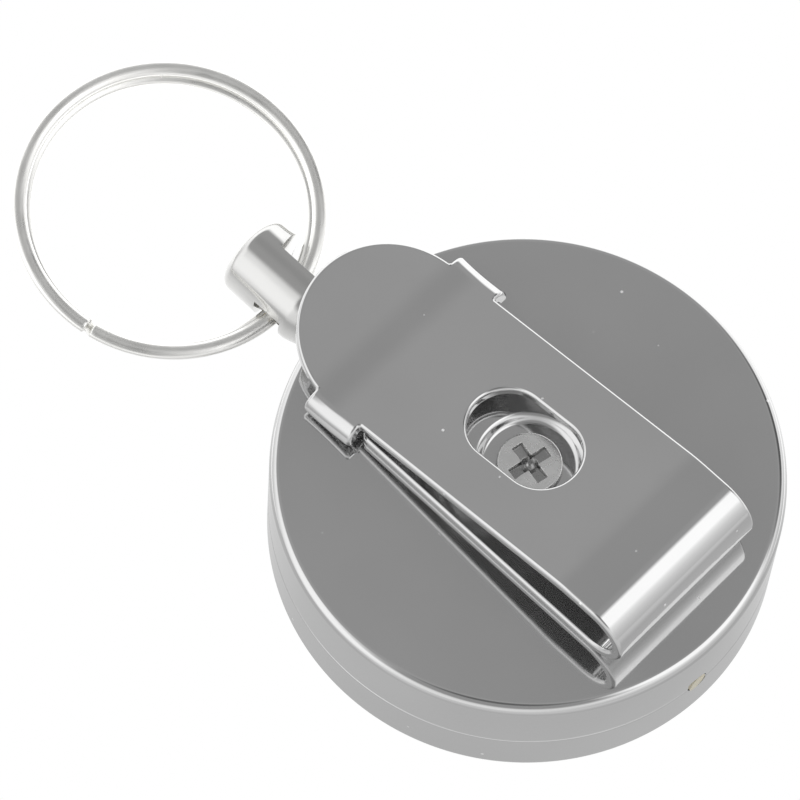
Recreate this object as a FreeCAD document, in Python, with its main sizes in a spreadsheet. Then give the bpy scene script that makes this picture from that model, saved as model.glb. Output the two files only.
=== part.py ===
import FreeCAD, Part
import math
import os

# Retractable badge reel (steel key reel with a belt clip and a split ring).
# Frame: +Z up, the reel lies on its front face. The origin is the centre of the
# flat front face, on the axis of the round case. +X is the way the cord is
# pulled out. The clip's fold is at -X and its free tip reaches past the case
# at +X. Lengths are in millimetres.

doc = FreeCAD.newDocument("badge_reel")
sheet = doc.addObject("Spreadsheet::Sheet", "Dims")

PARAMS = [
    # case
    ("case_radius", 20.0), ("case_height", 12.0), ("shell_wall", 0.6),
    ("seam_height", 5.5), ("rear_round", 0.8), ("front_round", 0.9),
    ("spigot_height", 2.0), ("spigot_gap", 0.03),
    ("dish_depth", 0.5), ("dish_floor_radius", 3.45), ("dish_mouth_radius", 4.15),
    ("screw_hole_radius", 1.65),
    ("exit_height", 6.2), ("exit_hole_radius", 2.15),
    ("peep_offset", 1.67), ("peep_height", 5.65), ("peep_radius", 0.95),
    # inner housing
    ("housing_radius", 18.7), ("housing_wall", 0.7), ("housing_floor", 0.65),
    ("housing_top", 11.3),
    # post and washers
    ("post_radius", 2.0), ("post_top", 10.88), ("post_foot_radius", 4.0),
    ("post_foot_height", 0.6), ("post_bore", 1.52), ("post_bore_depth", 7.0),
    ("slit_width", 0.5), ("washer_bore", 2.1), ("washer_radius", 4.6),
    # spool
    ("spool_bore", 2.05), ("spool_bottom", 1.72), ("drum_radius", 11.5),
    ("drum_inner", 10.6), ("flange_radius", 17.2), ("flange_thick", 0.8),
    ("channel_height", 3.6), ("drum_top", 9.5), ("web_thick", 1.0),
    ("cover_thick", 0.6),
    # mainspring
    ("spring_thick", 0.22), ("spring_bottom", 3.0), ("spring_top", 9.2),
    # cord
    ("cord_radius", 0.55), ("coil_outer", 13.75), ("knot_radius", 0.95),
    # exit bush
    ("bush_bore", 0.85), ("bush_radius", 2.1), ("bush_flange_radius", 2.7),
    ("bush_start", 17.45), ("bush_end", 20.55), ("bush_flange_thick", 0.45),
    # end fitting
    ("fitting_radius", 3.4), ("fitting_start", 20.85), ("fitting_end", 30.0),
    ("fitting_neck", 2.75), ("fitting_taper", 2.4), ("fitting_round", 0.8),
    ("slot_start", 23.6), ("slot_end_near", 26.3), ("slot_end_far", 28.1),
    ("slot_floor", 2.6),
    ("slot_roof_near", 0.9), ("slot_roof_slope", 29.0),
    ("entry_bore", 0.8), ("ferrule_bore", 1.45), ("ferrule_radius", 1.38),
    # split ring
    ("ring_outer", 12.58), ("ring_inner", 10.9), ("ring_wire", 0.76),
    ("ring_x", 36.66), ("ring_y", 2.35), ("ring_z", 7.18), ("ring_tilt", 7.0),
    # belt clip
    ("clip_thick", 1.0), ("clip_width", 15.0), ("fold_x", 13.05),
    ("fold_radius", 3.25), ("leaf_end", 11.0), ("split_gap", 0.6),
    ("arm_bend_x", 10.0), ("arm_slope", 10.05), ("arm_flare_x", 15.5), ("arm_flare", 14.0),
    ("arm_tip_x", 22.15),
    ("window_x", 0.78), ("window_length", 9.85), ("window_width", 6.2),
    ("tab_start", 10.9), ("tab_length", 4.75), ("tab_round", 1.7),
    # clip screw
    ("screw_head_radius", 2.57), ("screw_head_height", 0.65),
    ("screw_shank_radius", 1.48), ("screw_length", 7.2),
]
P = {}
for i, (alias, value) in enumerate(PARAMS, start=1):
    sheet.set("A%d" % i, alias)
    sheet.set("B%d" % i, str(value))
    sheet.setAlias("B%d" % i, alias)
    P[alias] = value
doc.recompute()


def val(expr):
    """Number that an expression of sheet cells has now."""
    return float(worked_out(expr))


def worked_out(expr):
    # plain arithmetic on the sheet's own cells, worked out by the sheet itself
    text = str(expr)
    cell = "D1"
    if text not in _cache:
        sheet.set(cell, "=" + text.replace("Dims.", ""))
        sheet.recompute()
        got = sheet.get(cell)
        _cache[text] = got.Value if hasattr(got, "Value") else float(got)
    return _cache[text]


_cache = {}


def place(obj, x="0", y="0", z="0"):
    for axis, expr in (("x", x), ("y", y), ("z", z)):
        if str(expr) != "0":
            obj.setExpression("Placement.Base." + axis, str(expr))


def turn(obj, axis, degrees):
    obj.Placement.Rotation = FreeCAD.Rotation(FreeCAD.Vector(*axis), degrees)


def cylinder(name, radius, height, x="0", y="0", z="0", axis=None, degrees=0.0, sector=None):
    o = doc.addObject("Part::Cylinder", name)
    o.setExpression("Radius", radius)
    o.setExpression("Height", height)
    if sector:
        o.Angle = sector
    if axis:
        turn(o, axis, degrees)
    place(o, x, y, z)
    return o


def box(name, length, width, height, x="0", y="0", z="0", axis=None, degrees=0.0):
    o = doc.addObject("Part::Box", name)
    o.setExpression("Length", length)
    o.setExpression("Width", width)
    o.setExpression("Height", height)
    if axis:
        turn(o, axis, degrees)
    place(o, x, y, z)
    return o


def cone(name, radius1, radius2, height, x="0", y="0", z="0", axis=None, degrees=0.0):
    o = doc.addObject("Part::Cone", name)
    o.setExpression("Radius1", radius1)
    o.setExpression("Radius2", radius2)
    o.setExpression("Height", height)
    if axis:
        turn(o, axis, degrees)
    place(o, x, y, z)
    return o


def cut(name, base, tool):
    o = doc.addObject("Part::Cut", name)
    o.Base, o.Tool = base, tool
    return o


def fuse(name, parts):
    o = doc.addObject("Part::MultiFuse", name)
    o.Shapes = parts
    o.Refine = True
    return o


def common(name, a, b):
    o = doc.addObject("Part::Common", name)
    o.Base, o.Tool = a, b
    return o


def plane_of(body, role):
    return [f for f in body.Origin.OriginFeatures if f.Role == role][0]


def sketch_on(body, name, role):
    sk = body.newObject("Sketcher::SketchObject", name)
    sk.AttachmentSupport = [(plane_of(body, role), "")]
    sk.MapMode = "FlatFace"
    return sk


def polygon(sk, points):
    """Closed polygon; each corner is a pair of expressions of sheet cells."""
    import Sketcher
    n = len(points)
    xy = [(val(a), val(b)) for a, b in points]
    for i in range(n):
        p, q = xy[i], xy[(i + 1) % n]
        sk.addGeometry(Part.LineSegment(FreeCAD.Vector(p[0], p[1], 0), FreeCAD.Vector(q[0], q[1], 0)), False)
    for i in range(n):
        sk.addConstraint(Sketcher.Constraint("Coincident", i, 2, (i + 1) % n, 1))
    for i in range(n):
        for kind, k in (("DistanceX", 0), ("DistanceY", 1)):
            if abs(xy[i][k]) < 1e-9:
                sk.addConstraint(Sketcher.Constraint("PointOnObject", i, 1, -2 if k == 0 else -1))
            else:
                c = sk.addConstraint(Sketcher.Constraint(kind, -1, 1, i, 1, xy[i][k]))
                if "Dims" in points[i][k]:
                    sk.setExpression("Constraints[%d]" % c, points[i][k])


def circle(sk, cx, cy, r):
    import Sketcher
    g = sk.addGeometry(Part.Circle(FreeCAD.Vector(val(cx), val(cy), 0), FreeCAD.Vector(0, 0, 1), val(r)), False)
    c = sk.addConstraint(Sketcher.Constraint("Radius", g, val(r)))
    sk.setExpression("Constraints[%d]" % c, r)
    for kind, e, line in (("DistanceX", cx, -2), ("DistanceY", cy, -1)):
        if abs(val(e)) < 1e-9:
            sk.addConstraint(Sketcher.Constraint("PointOnObject", g, 3, line))
        else:
            c = sk.addConstraint(Sketcher.Constraint(kind, -1, 1, g, 3, val(e)))
            sk.setExpression("Constraints[%d]" % c, e)


def new_body(name):
    b = doc.addObject("PartDesign::Body", name)
    return b


def revolve(body, name, points, role="XZ_Plane", axis="V_Axis"):
    sk = sketch_on(body, name + "_profile", role)
    polygon(sk, points)
    doc.recompute()
    r = body.newObject("PartDesign::Revolution", name)
    r.Profile = sk
    r.ReferenceAxis = (sk, [axis])
    r.Angle = 360
    doc.recompute()
    return r


def pocket(body, name, sk, length, backwards, both=False):
    before = body.Shape.Volume
    p = body.newObject("PartDesign::Pocket", name)
    p.Profile = sk
    p.Type = "Length"
    p.Length = length
    p.Reversed = backwards
    if both:
        p.Midplane = True
    doc.recompute()
    if not body.Shape.Volume < before - 1e-4:
        raise RuntimeError(name + " cuts nothing")
    return p


def pad(body, name, sk, length, both=False, reverse=False):
    p = body.newObject("PartDesign::Pad", name)
    p.Profile = sk
    p.Type = "Length"
    if isinstance(length, str):
        p.setExpression("Length", length)
    else:
        p.Length = length
    p.Midplane = both
    p.Reversed = reverse
    doc.recompute()
    return p


def fillet(body, name, radius, pick):
    """Round the body's edges that pick(edge) chooses."""
    base = body.Tip
    edges = ["Edge%d" % (i + 1) for i, e in enumerate(base.Shape.Edges) if pick(e)]
    if not edges:
        raise RuntimeError(name + " finds no edge")
    f = body.newObject("PartDesign::Fillet", name)
    f.Base = (base, edges)
    f.setExpression("Radius", radius)
    doc.recompute()
    return f


def ring_edge(radius, z):
    def pick(e):
        c = e.Curve
        return (c.TypeId == "Part::GeomCircle" and abs(c.Radius - radius) < 1e-4
                and abs(c.Center.z - z) < 1e-4 and abs(abs(c.Axis.z) - 1) < 1e-6)
    return pick


NODES = {}


def node(name, obj):
    obj.Label = name
    NODES[name] = obj


# ---------------------------------------------------------------- case shells
# Rear shell: drawn steel cup, open towards the front, with a round dish for the
# clip's screw. The cord exit and the small peep hole cross the seam.
b = new_body("rear_shell_body")
revolve(b, "rear_cup", [
    ("Dims.screw_hole_radius", "Dims.case_height - Dims.dish_depth"),
    ("Dims.dish_floor_radius", "Dims.case_height - Dims.dish_depth"),
    ("Dims.dish_mouth_radius", "Dims.case_height"),
    ("Dims.case_radius", "Dims.case_height"),
    ("Dims.case_radius", "Dims.seam_height"),
    ("Dims.case_radius - Dims.shell_wall", "Dims.seam_height"),
    ("Dims.case_radius - Dims.shell_wall", "Dims.case_height - Dims.shell_wall"),
    ("Dims.dish_mouth_radius + 0.35", "Dims.case_height - Dims.shell_wall"),
    ("Dims.dish_floor_radius + 0.35", "Dims.case_height - Dims.dish_depth - Dims.shell_wall"),
    ("Dims.screw_hole_radius", "Dims.case_height - Dims.dish_depth - Dims.shell_wall"),
])
fillet(b, "rear_rim_round", "Dims.rear_round", ring_edge(P["case_radius"], P["case_height"]))
sk = sketch_on(b, "rear_exit_hole", "YZ_Plane")
circle(sk, "0", "Dims.exit_height", "Dims.exit_hole_radius")
pocket(b, "rear_exit", sk, 25.0, True)
sk = sketch_on(b, "rear_peep_hole", "YZ_Plane")
circle(sk, "Dims.peep_offset", "Dims.peep_height", "Dims.peep_radius")
pocket(b, "rear_peep", sk, 25.0, False)
node("rear_shell", b)

# Front shell: shallower cup whose necked rim slides inside the rear shell.
b = new_body("front_shell_body")
revolve(b, "front_cup", [
    ("0", "0"),
    ("Dims.case_radius", "0"),
    ("Dims.case_radius", "Dims.seam_height"),
    ("Dims.case_radius - Dims.shell_wall - Dims.spigot_gap", "Dims.seam_height"),
    ("Dims.case_radius - Dims.shell_wall - Dims.spigot_gap", "Dims.seam_height + Dims.spigot_height"),
    ("Dims.case_radius - 2 * Dims.shell_wall - Dims.spigot_gap", "Dims.seam_height + Dims.spigot_height"),
    ("Dims.case_radius - 2 * Dims.shell_wall - Dims.spigot_gap", "Dims.seam_height - 0.9"),
    ("Dims.case_radius - Dims.shell_wall", "Dims.seam_height - 1.5"),
    ("Dims.case_radius - Dims.shell_wall", "Dims.shell_wall"),
    ("0", "Dims.shell_wall"),
])
fillet(b, "front_rim_round", "Dims.front_round", ring_edge(P["case_radius"], 0.0))
sk = sketch_on(b, "front_exit_hole", "YZ_Plane")
circle(sk, "0", "Dims.exit_height", "Dims.exit_hole_radius")
pocket(b, "front_exit", sk, 25.0, True)
sk = sketch_on(b, "front_peep_hole", "YZ_Plane")
circle(sk, "Dims.peep_offset", "Dims.peep_height", "Dims.peep_radius")
pocket(b, "front_peep", sk, 25.0, False)
node("front_shell", b)

# Inner housing: moulded nylon cup that the spool turns in.
b = new_body("inner_housing_body")
revolve(b, "housing_cup", [
    ("Dims.post_foot_radius + 0.1", "Dims.housing_floor"),
    ("Dims.housing_radius", "Dims.housing_floor"),
    ("Dims.housing_radius", "Dims.housing_top"),
    ("Dims.housing_radius - Dims.housing_wall", "Dims.housing_top"),
    ("Dims.housing_radius - Dims.housing_wall", "Dims.housing_floor + 0.6"),
    ("Dims.post_foot_radius + 0.1", "Dims.housing_floor + 0.6"),
])
sk = sketch_on(b, "housing_exit_hole", "YZ_Plane")
circle(sk, "0", "Dims.exit_height", "Dims.exit_hole_radius")
pocket(b, "housing_exit", sk, 25.0, True)
# locating peg that fills the shells' small peep hole
sk = sketch_on(b, "housing_peg", "YZ_Plane")
circle(sk, "Dims.peep_offset", "Dims.peep_height", "Dims.peep_radius - 0.1")
sk.AttachmentOffset = FreeCAD.Placement(FreeCAD.Vector(0, 0, -18.3), FreeCAD.Rotation())
sk.setExpression("AttachmentOffset.Base.z", "0.4 - Dims.housing_radius")
doc.recompute()
pad(b, "housing_peg_pad", sk, "Dims.case_radius - Dims.housing_radius + 0.35", reverse=True)
node("inner_housing", b)

# ---------------------------------------------------------------- post, screw
# Centre post: turned steel post on the front shell, tapped for the clip screw
# and slit on one side for the mainspring's inner end.
post = fuse("post_blank", [
    cylinder("post_shaft", "Dims.post_radius", "Dims.post_top - Dims.shell_wall", z="Dims.shell_wall"),
    cylinder("post_foot", "Dims.post_foot_radius", "Dims.post_foot_height", z="Dims.shell_wall"),
])
post = cut("post_tapped", post, cylinder("post_bore_tool", "Dims.post_bore", "Dims.post_bore_depth + 1",
                                         z="Dims.post_top - Dims.post_bore_depth"))
post = cut("post_slit", post, box("post_slit_tool", "Dims.post_radius + 1", "Dims.slit_width",
                                  "Dims.spring_top - Dims.spring_bottom + 0.4",
                                  y="-Dims.slit_width / 2", z="Dims.spring_bottom - 0.2"))
node("centre_post", post)

# Clip screw: low cross-recess head, resting in the dish of the clip.
head_z = "Dims.case_height - Dims.dish_depth + Dims.clip_thick"
head = doc.addObject("Part::Fillet", "screw_head_round")
blank = cylinder("screw_head_blank", "Dims.screw_head_radius", "Dims.screw_head_height", z=head_z)
doc.recompute()
head.Base = blank
top_edge = [i + 1 for i, e in enumerate(blank.Shape.Edges)
            if e.Curve.TypeId == "Part::GeomCircle" and e.Curve.Center.z > val(head_z) + 0.5]
head.Edges = [(top_edge[0], 0.3, 0.3)]
screw = fuse("screw_blank", [head, cylinder(
    "screw_shank", "Dims.screw_shank_radius", "Dims.screw_length",
    z=head_z + " - Dims.screw_length + 0.02")])
recess_a = box("recess_a", "2.9", "0.62", "0.6", x="-1.45", y="-0.31", z=head_z + " + Dims.screw_head_height - 0.55")
recess_b = box("recess_b", "0.62", "2.9", "0.6", x="-0.31", y="-1.45", z=head_z + " + Dims.screw_head_height - 0.55")
recess_c = cone("recess_c", "0.35", "0.85", "0.6", z=head_z + " + Dims.screw_head_height - 0.55")
screw = cut("screw_cut", screw, fuse("screw_recess", [recess_a, recess_b, recess_c]))
node("clip_screw", screw)

# Thrust washers below and above the spool.
node("lower_washer", cut("lower_washer_ring",
     cylinder("lw_o", "Dims.washer_radius", "0.35", z="Dims.housing_floor + 0.62"),
     cylinder("lw_i", "Dims.washer_bore", "1", z="Dims.housing_floor + 0.3")))
node("upper_washer", cut("upper_washer_ring",
     cylinder("uw_o", "3.4", "0.4", z="Dims.drum_top + Dims.cover_thick + 0.08"),
     cylinder("uw_i", "Dims.washer_bore", "1.2", z="Dims.drum_top + Dims.cover_thick - 0.2")))

# ---------------------------------------------------------------- spool
mid = "Dims.exit_height"
lo = "Dims.exit_height - Dims.channel_height / 2"
hi = "Dims.exit_height + Dims.channel_height / 2"
b = new_body("spool_body")
revolve(b, "spool_form", [
    ("Dims.spool_bore", "Dims.spool_bottom"),
    ("Dims.drum_radius", "Dims.spool_bottom"),
    ("Dims.drum_radius", lo + " - Dims.flange_thick"),
    ("Dims.flange_radius", lo + " - Dims.flange_thick"),
    ("Dims.flange_radius", lo),
    ("Dims.drum_radius", lo),
    ("Dims.drum_radius", hi),
    ("Dims.flange_radius", hi),
    ("Dims.flange_radius", hi + " + Dims.flange_thick"),
    ("Dims.drum_radius", hi + " + Dims.flange_thick"),
    ("Dims.drum_radius", "Dims.drum_top"),
    ("Dims.drum_inner", "Dims.drum_top"),
    ("Dims.drum_inner", "Dims.spool_bottom + Dims.web_thick"),
    ("Dims.spool_bore", "Dims.spool_bottom + Dims.web_thick"),
])
# hole in the lower flange for the knotted end of the cord
sk = sketch_on(b, "knot_hole", "XY_Plane")
circle(sk, "-12.75", "0", "Dims.cord_radius + 0.1")
pocket(b, "knot_passage", sk, 9.2, True)
doc.recompute()
node("spool", b)

node("spool_cover", cut("cover_ring",
     cylinder("cover_disc", "Dims.drum_radius", "Dims.cover_thick", z="Dims.drum_top + 0.02"),
     cylinder("cover_bore", "Dims.spool_bore", "2", z="Dims.drum_top - 0.5")))

# Mainspring: flat strip wound in the drum, hooked in the post's slit at its
# inner end. Both faces follow one spiral, half a thickness to each side.
def spiral_point(t, side):
    # t from 0 (at the post) to 1 (at the drum's wall)
    turns = 9.5
    ang = 2 * math.pi * turns * t
    loose = 0.17
    r_in, r_mid, r_out = P["post_radius"] + 0.35, 6.2, P["drum_inner"] - 0.2
    if t < loose:
        f = t / loose
        f = f * f * (3 - 2 * f) * 0.5 + 0.5 * f
        r = r_in + (r_mid - r_in) * f
    else:
        r = r_mid + (r_out - r_mid) * (t - loose) / (1 - loose)
    r += side * P["spring_thick"] / 2
    return FreeCAD.Vector(r * math.cos(ang), r * math.sin(ang), P["spring_bottom"])

def spline(points):
    c = Part.BSplineCurve()
    c.interpolate(points)
    return c.toShape()

ts = [i / 190.0 for i in range(191)]
outer_pts = [spiral_point(u, 1) for u in ts]
inner_pts = [spiral_point(u, -1) for u in ts]
spring_wire = Part.Wire([spline(outer_pts),
                         Part.LineSegment(outer_pts[-1], inner_pts[-1]).toShape(),
                         spline(inner_pts[::-1]),
                         Part.LineSegment(inner_pts[0], outer_pts[0]).toShape()])
spring_solid = Part.Face(spring_wire).extrude(FreeCAD.Vector(0, 0, P["spring_top"] - P["spring_bottom"]))
hook = Part.makeBox(P["post_radius"] + 0.35 - 1.62, P["spring_thick"], P["spring_top"] - P["spring_bottom"],
                    FreeCAD.Vector(1.62, -P["spring_thick"] / 2, P["spring_bottom"]))
spring_solid = spring_solid.fuse(hook).removeSplitter()
spring = doc.addObject("Part::Feature", "mainspring_strip")
spring.Shape = spring_solid
node("mainspring", spring)

# Wound cord: the turns on the drum, three side by side in two layers, with a
# scalloped outside where the turns show.
pitch = P["channel_height"] / 3.0 - 0.02
z0 = P["exit_height"] - 1.5 * pitch
edges = []
r_core, r_low = P["drum_radius"] + 0.04, P["coil_outer"] - P["cord_radius"]
def v(r, z):
    return FreeCAD.Vector(r, 0, z)
edges.append(Part.LineSegment(v(r_low, z0), v(r_core, z0)).toShape())
edges.append(Part.LineSegment(v(r_core, z0), v(r_core, z0 + 3 * pitch)).toShape())
edges.append(Part.LineSegment(v(r_core, z0 + 3 * pitch), v(r_low, z0 + 3 * pitch)).toShape())
for k in (2, 1, 0):
    edges.append(Part.Arc(v(r_low, z0 + (k + 1) * pitch), v(P["coil_outer"], z0 + (k + 0.5) * pitch),
                          v(r_low, z0 + k * pitch)).toShape())
coil_face = Part.Face(Part.Wire(Part.__sortEdges__(edges)))
coil = doc.addObject("Part::Feature", "wound_cord_turns")
coil.Shape = coil_face.revolve(FreeCAD.Vector(0, 0, 0), FreeCAD.Vector(0, 0, 1), 360)
node("wound_cord", coil)

# Knot on the cord's inner end, under the lower flange.
knot = doc.addObject("Part::Sphere", "knot_ball")
knot.setExpression("Radius", "Dims.knot_radius")
place(knot, x="-12.75", z=lo + " - Dims.flange_thick - Dims.knot_radius - 0.04")
stem = cylinder("knot_stem", "Dims.cord_radius", "Dims.flange_thick + 0.45", x="-12.75",
                z=lo + " - Dims.flange_thick - 0.5")
node("cord_knot", fuse("knot_all", [knot, stem]))

# ---------------------------------------------------------------- cord exit
# Exit bush: plastic tube with a flange outside the case and a rounded mouth.
tilt = ((0, 1, 0), 90)
bush = fuse("bush_blank", [
    cylinder("bush_tube", "Dims.bush_radius", "Dims.bush_end - Dims.bush_start", x="Dims.bush_start",
             z="Dims.exit_height", axis=(0, 1, 0), degrees=90),
    cylinder("bush_flange", "Dims.bush_flange_radius", "Dims.bush_flange_thick",
             x="Dims.bush_end - Dims.bush_flange_thick", z="Dims.exit_height", axis=(0, 1, 0), degrees=90),
])
bush = cut("bush_bored", bush, cylinder("bush_bore_tool", "Dims.bush_bore", "10", x="Dims.bush_start - 2",
                                        z="Dims.exit_height", axis=(0, 1, 0), degrees=90))
bush = cut("bush_mouth", bush, cone("bush_mouth_tool", "Dims.bush_radius - 0.15", "Dims.bush_bore", "1.6",
                                    x="Dims.bush_start - 0.01", z="Dims.exit_height", axis=(0, 1, 0), degrees=90))
node("exit_bush", bush)

# Cord between the spool and the end fitting: off the coil on a tangent, round
# the bush's mouth, straight out through the bush and into the fitting.
rc = P["cord_radius"]
rt = P["coil_outer"] - rc + 0.6
bend_x = P["bush_start"] + 0.3
ang = math.acos((rt + rc) / bend_x)
start = FreeCAD.Vector((rt + rc) * math.cos(ang), (rt + rc) * math.sin(ang), P["exit_height"])
corner = FreeCAD.Vector(bend_x, 0, P["exit_height"])
end = FreeCAD.Vector(P["fitting_start"] + 1.05, 0, P["exit_height"])
d1 = (corner - start).normalize()
d2 = FreeCAD.Vector(1, 0, 0)
bend = math.acos(d1.dot(d2))
radius = 1.9
setback = radius * math.tan(bend / 2)
pa, pb = corner - d1 * setback, corner + d2 * setback
centre = pb + FreeCAD.Vector(0, 1, 0) * radius
midp = centre + ((corner - centre).normalize()) * radius
path = Part.Wire([Part.LineSegment(start, pa).toShape(), Part.Arc(pa, midp, pb).toShape(),
                  Part.LineSegment(pb, end).toShape()])
section = Part.Wire([Part.makeCircle(rc, start, d1)])
lead = doc.addObject("Part::Feature", "cord_lead_tube")
lead.Shape = path.makePipeShell([section], True, False)
node("cord_lead", lead)
print("cord lead volume %.3f, section x length %.3f, bend radius %.2f" % (
    lead.Shape.Volume, math.pi * rc * rc * path.Length, radius))

# Crimped ferrule on the cord's outer end, inside the fitting.
node("cord_ferrule", cylinder("ferrule_tube", "Dims.ferrule_radius", "1.3", x="Dims.fitting_start + 1.1",
                              z="Dims.exit_height", axis=(0, 1, 0), degrees=90))

# ---------------------------------------------------------------- end fitting
b = new_body("end_fitting_body")
sk = sketch_on(b, "fitting_profile", "XZ_Plane")
ez = "Dims.exit_height"
polygon(sk, [
    ("Dims.fitting_start", ez + " + Dims.entry_bore"),
    ("Dims.fitting_start", ez + " + Dims.fitting_neck"),
    ("Dims.fitting_start + Dims.fitting_taper", ez + " + Dims.fitting_radius"),
    ("Dims.fitting_end", ez + " + Dims.fitting_radius"),
    ("Dims.fitting_end", ez),
    ("Dims.slot_start + 0.5", ez),
    ("Dims.slot_start + 0.5", ez + " + Dims.ferrule_bore"),
    ("Dims.fitting_start + 1.05", ez + " + Dims.ferrule_bore"),
    ("Dims.fitting_start + 1.05", ez + " + Dims.entry_bore"),
])
import Sketcher
axis_line = sk.addGeometry(Part.LineSegment(FreeCAD.Vector(val("Dims.fitting_start"), val(ez), 0),
                                            FreeCAD.Vector(val("Dims.fitting_end"), val(ez), 0)), True)
sk.addConstraint(Sketcher.Constraint("Horizontal", axis_line))
c = sk.addConstraint(Sketcher.Constraint("DistanceY", -1, 1, axis_line, 1, val(ez)))
sk.setExpression("Constraints[%d]" % c, ez)
c = sk.addConstraint(Sketcher.Constraint("DistanceX", -1, 1, axis_line, 1, val("Dims.fitting_start")))
sk.setExpression("Constraints[%d]" % c, "Dims.fitting_start")
c = sk.addConstraint(Sketcher.Constraint("DistanceX", -1, 1, axis_line, 2, val("Dims.fitting_end")))
sk.setExpression("Constraints[%d]" % c, "Dims.fitting_end")
doc.recompute()
r = b.newObject("PartDesign::Revolution", "fitting_turned")
r.Profile = sk
r.ReferenceAxis = (sk, ["Axis0"])
r.Angle = 360
doc.recompute()

def outer_end_edge(e):
    c = e.Curve
    return (c.TypeId == "Part::GeomCircle" and abs(c.Radius - P["fitting_radius"]) < 1e-4
            and abs(c.Center.x - P["fitting_end"]) < 1e-4)


fillet(b, "fitting_end_round", "Dims.fitting_round", outer_end_edge)
turned = b
# cross slot: flat floor, roof sloping up towards -Y, and an end wall that runs
# outwards towards -Y, so the ring can lie in it off centre and swing
b = new_body("slot_side_body")
sk = sketch_on(b, "slot_side", "YZ_Plane")
slope = "tan(Dims.slot_roof_slope)"
polygon(sk, [
    ("5.5", ez + " - Dims.slot_floor"),
    ("5.5", ez + " + Dims.slot_roof_near - (5.5 - Dims.fitting_radius) * " + slope),
    ("-5.5", ez + " + Dims.slot_roof_near + (5.5 + Dims.fitting_radius) * " + slope),
    ("-5.5", ez + " - Dims.slot_floor"),
])
sk.AttachmentOffset = FreeCAD.Placement(FreeCAD.Vector(0, 0, P["slot_start"]), FreeCAD.Rotation())
sk.setExpression("AttachmentOffset.Base.z", "Dims.slot_start")
doc.recompute()
pad(b, "slot_side_pad", sk, "Dims.slot_end_far - Dims.slot_start + 1")
slot_side = b
b = new_body("slot_plan_body")
sk = sketch_on(b, "slot_plan", "XY_Plane")
taper = "(Dims.slot_end_far - Dims.slot_end_near) / (2 * Dims.fitting_radius)"
polygon(sk, [
    ("Dims.slot_start", "-5.5"),
    ("Dims.slot_end_far + (5.5 - Dims.fitting_radius) * " + taper, "-5.5"),
    ("Dims.slot_end_near - (5.5 - Dims.fitting_radius) * " + taper, "5.5"),
    ("Dims.slot_start", "5.5"),
])
doc.recompute()
pad(b, "slot_plan_pad", sk, "8 * Dims.fitting_radius", both=True)
slotted = cut("fitting_slotted", turned, common("fitting_slot", slot_side, b))
doc.recompute()
if not slotted.Shape.Volume < turned.Shape.Volume - 10:
    raise RuntimeError("cross slot cuts nothing")
node("end_fitting", slotted)

# ---------------------------------------------------------------- split ring
# Two turns of flattened wire lying on each other, each open at a small gap,
# the turns joined where one climbs onto the other.
ro, ri, wire = P["ring_outer"], P["ring_inner"], P["ring_wire"]


def turn_of_ring(z, gap_from, gap_to):
    body = Part.makeCylinder(ro, wire, FreeCAD.Vector(0, 0, z)).cut(
        Part.makeCylinder(ri, wire + 1, FreeCAD.Vector(0, 0, z - 0.5)))
    a0, a1 = math.radians(gap_from), math.radians(gap_to)
    wedge = Part.Face(Part.makePolygon([
        FreeCAD.Vector(0, 0, z - 0.5),
        FreeCAD.Vector(40 * math.cos(a0), 40 * math.sin(a0), z - 0.5),
        FreeCAD.Vector(40 * math.cos(a1), 40 * math.sin(a1), z - 0.5),
        FreeCAD.Vector(0, 0, z - 0.5)])).extrude(FreeCAD.Vector(0, 0, wire + 1))
    return body.cut(wedge)


lower = turn_of_ring(-wire - 0.01, 110, 114)
upper = turn_of_ring(0.01, 94, 98)
link_face = Part.makeCylinder(ro, 0.3, FreeCAD.Vector(0, 0, -0.15)).cut(
    Part.makeCylinder(ri, 1, FreeCAD.Vector(0, 0, -0.5)))
a0, a1 = math.radians(98.5), math.radians(109.5)
link_wedge = Part.Face(Part.makePolygon([
    FreeCAD.Vector(0, 0, -0.5), FreeCAD.Vector(40 * math.cos(a0), 40 * math.sin(a0), -0.5),
    FreeCAD.Vector(40 * math.cos(a1), 40 * math.sin(a1), -0.5), FreeCAD.Vector(0, 0, -0.5)])).extrude(
        FreeCAD.Vector(0, 0, 1))
ring_shape = lower.fuse([upper, link_face.common(link_wedge)]).removeSplitter()
ring = doc.addObject("Part::Feature", "split_ring_wire")
ring.Shape = ring_shape
# the ring leans: its far side is higher by the tilt angle
ring.Placement = FreeCAD.Placement(FreeCAD.Vector(P["ring_x"], P["ring_y"], P["ring_z"]),
                                   FreeCAD.Rotation(FreeCAD.Vector(0, 1, 0), -P["ring_tilt"]))
node("split_ring", ring)

# ---------------------------------------------------------------- belt clip
# The clip is one strip of spring steel. Its lower leaf and fold are one node,
# its upper arm is the other, because the arm springs open about the fold.
b = new_body("clip_base_body")
sk = sketch_on(b, "leaf_profile", "XZ_Plane")
top, th = "Dims.case_height", "Dims.clip_thick"
corners = [("Dims.leaf_end", top), ("-Dims.fold_x", top), ("-Dims.fold_x", top + " + 2 * Dims.fold_radius"),
           ("-Dims.fold_x", top + " + 2 * Dims.fold_radius - " + th), ("-Dims.fold_x", top + " + " + th),
           ("Dims.leaf_end", top + " + " + th)]
xy = [(val(a), val(c)) for a, c in corners]
fz = val(top + " + Dims.fold_radius")
fx = -P["fold_x"]


def v2(x, z):
    return FreeCAD.Vector(x, z, 0)


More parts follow.
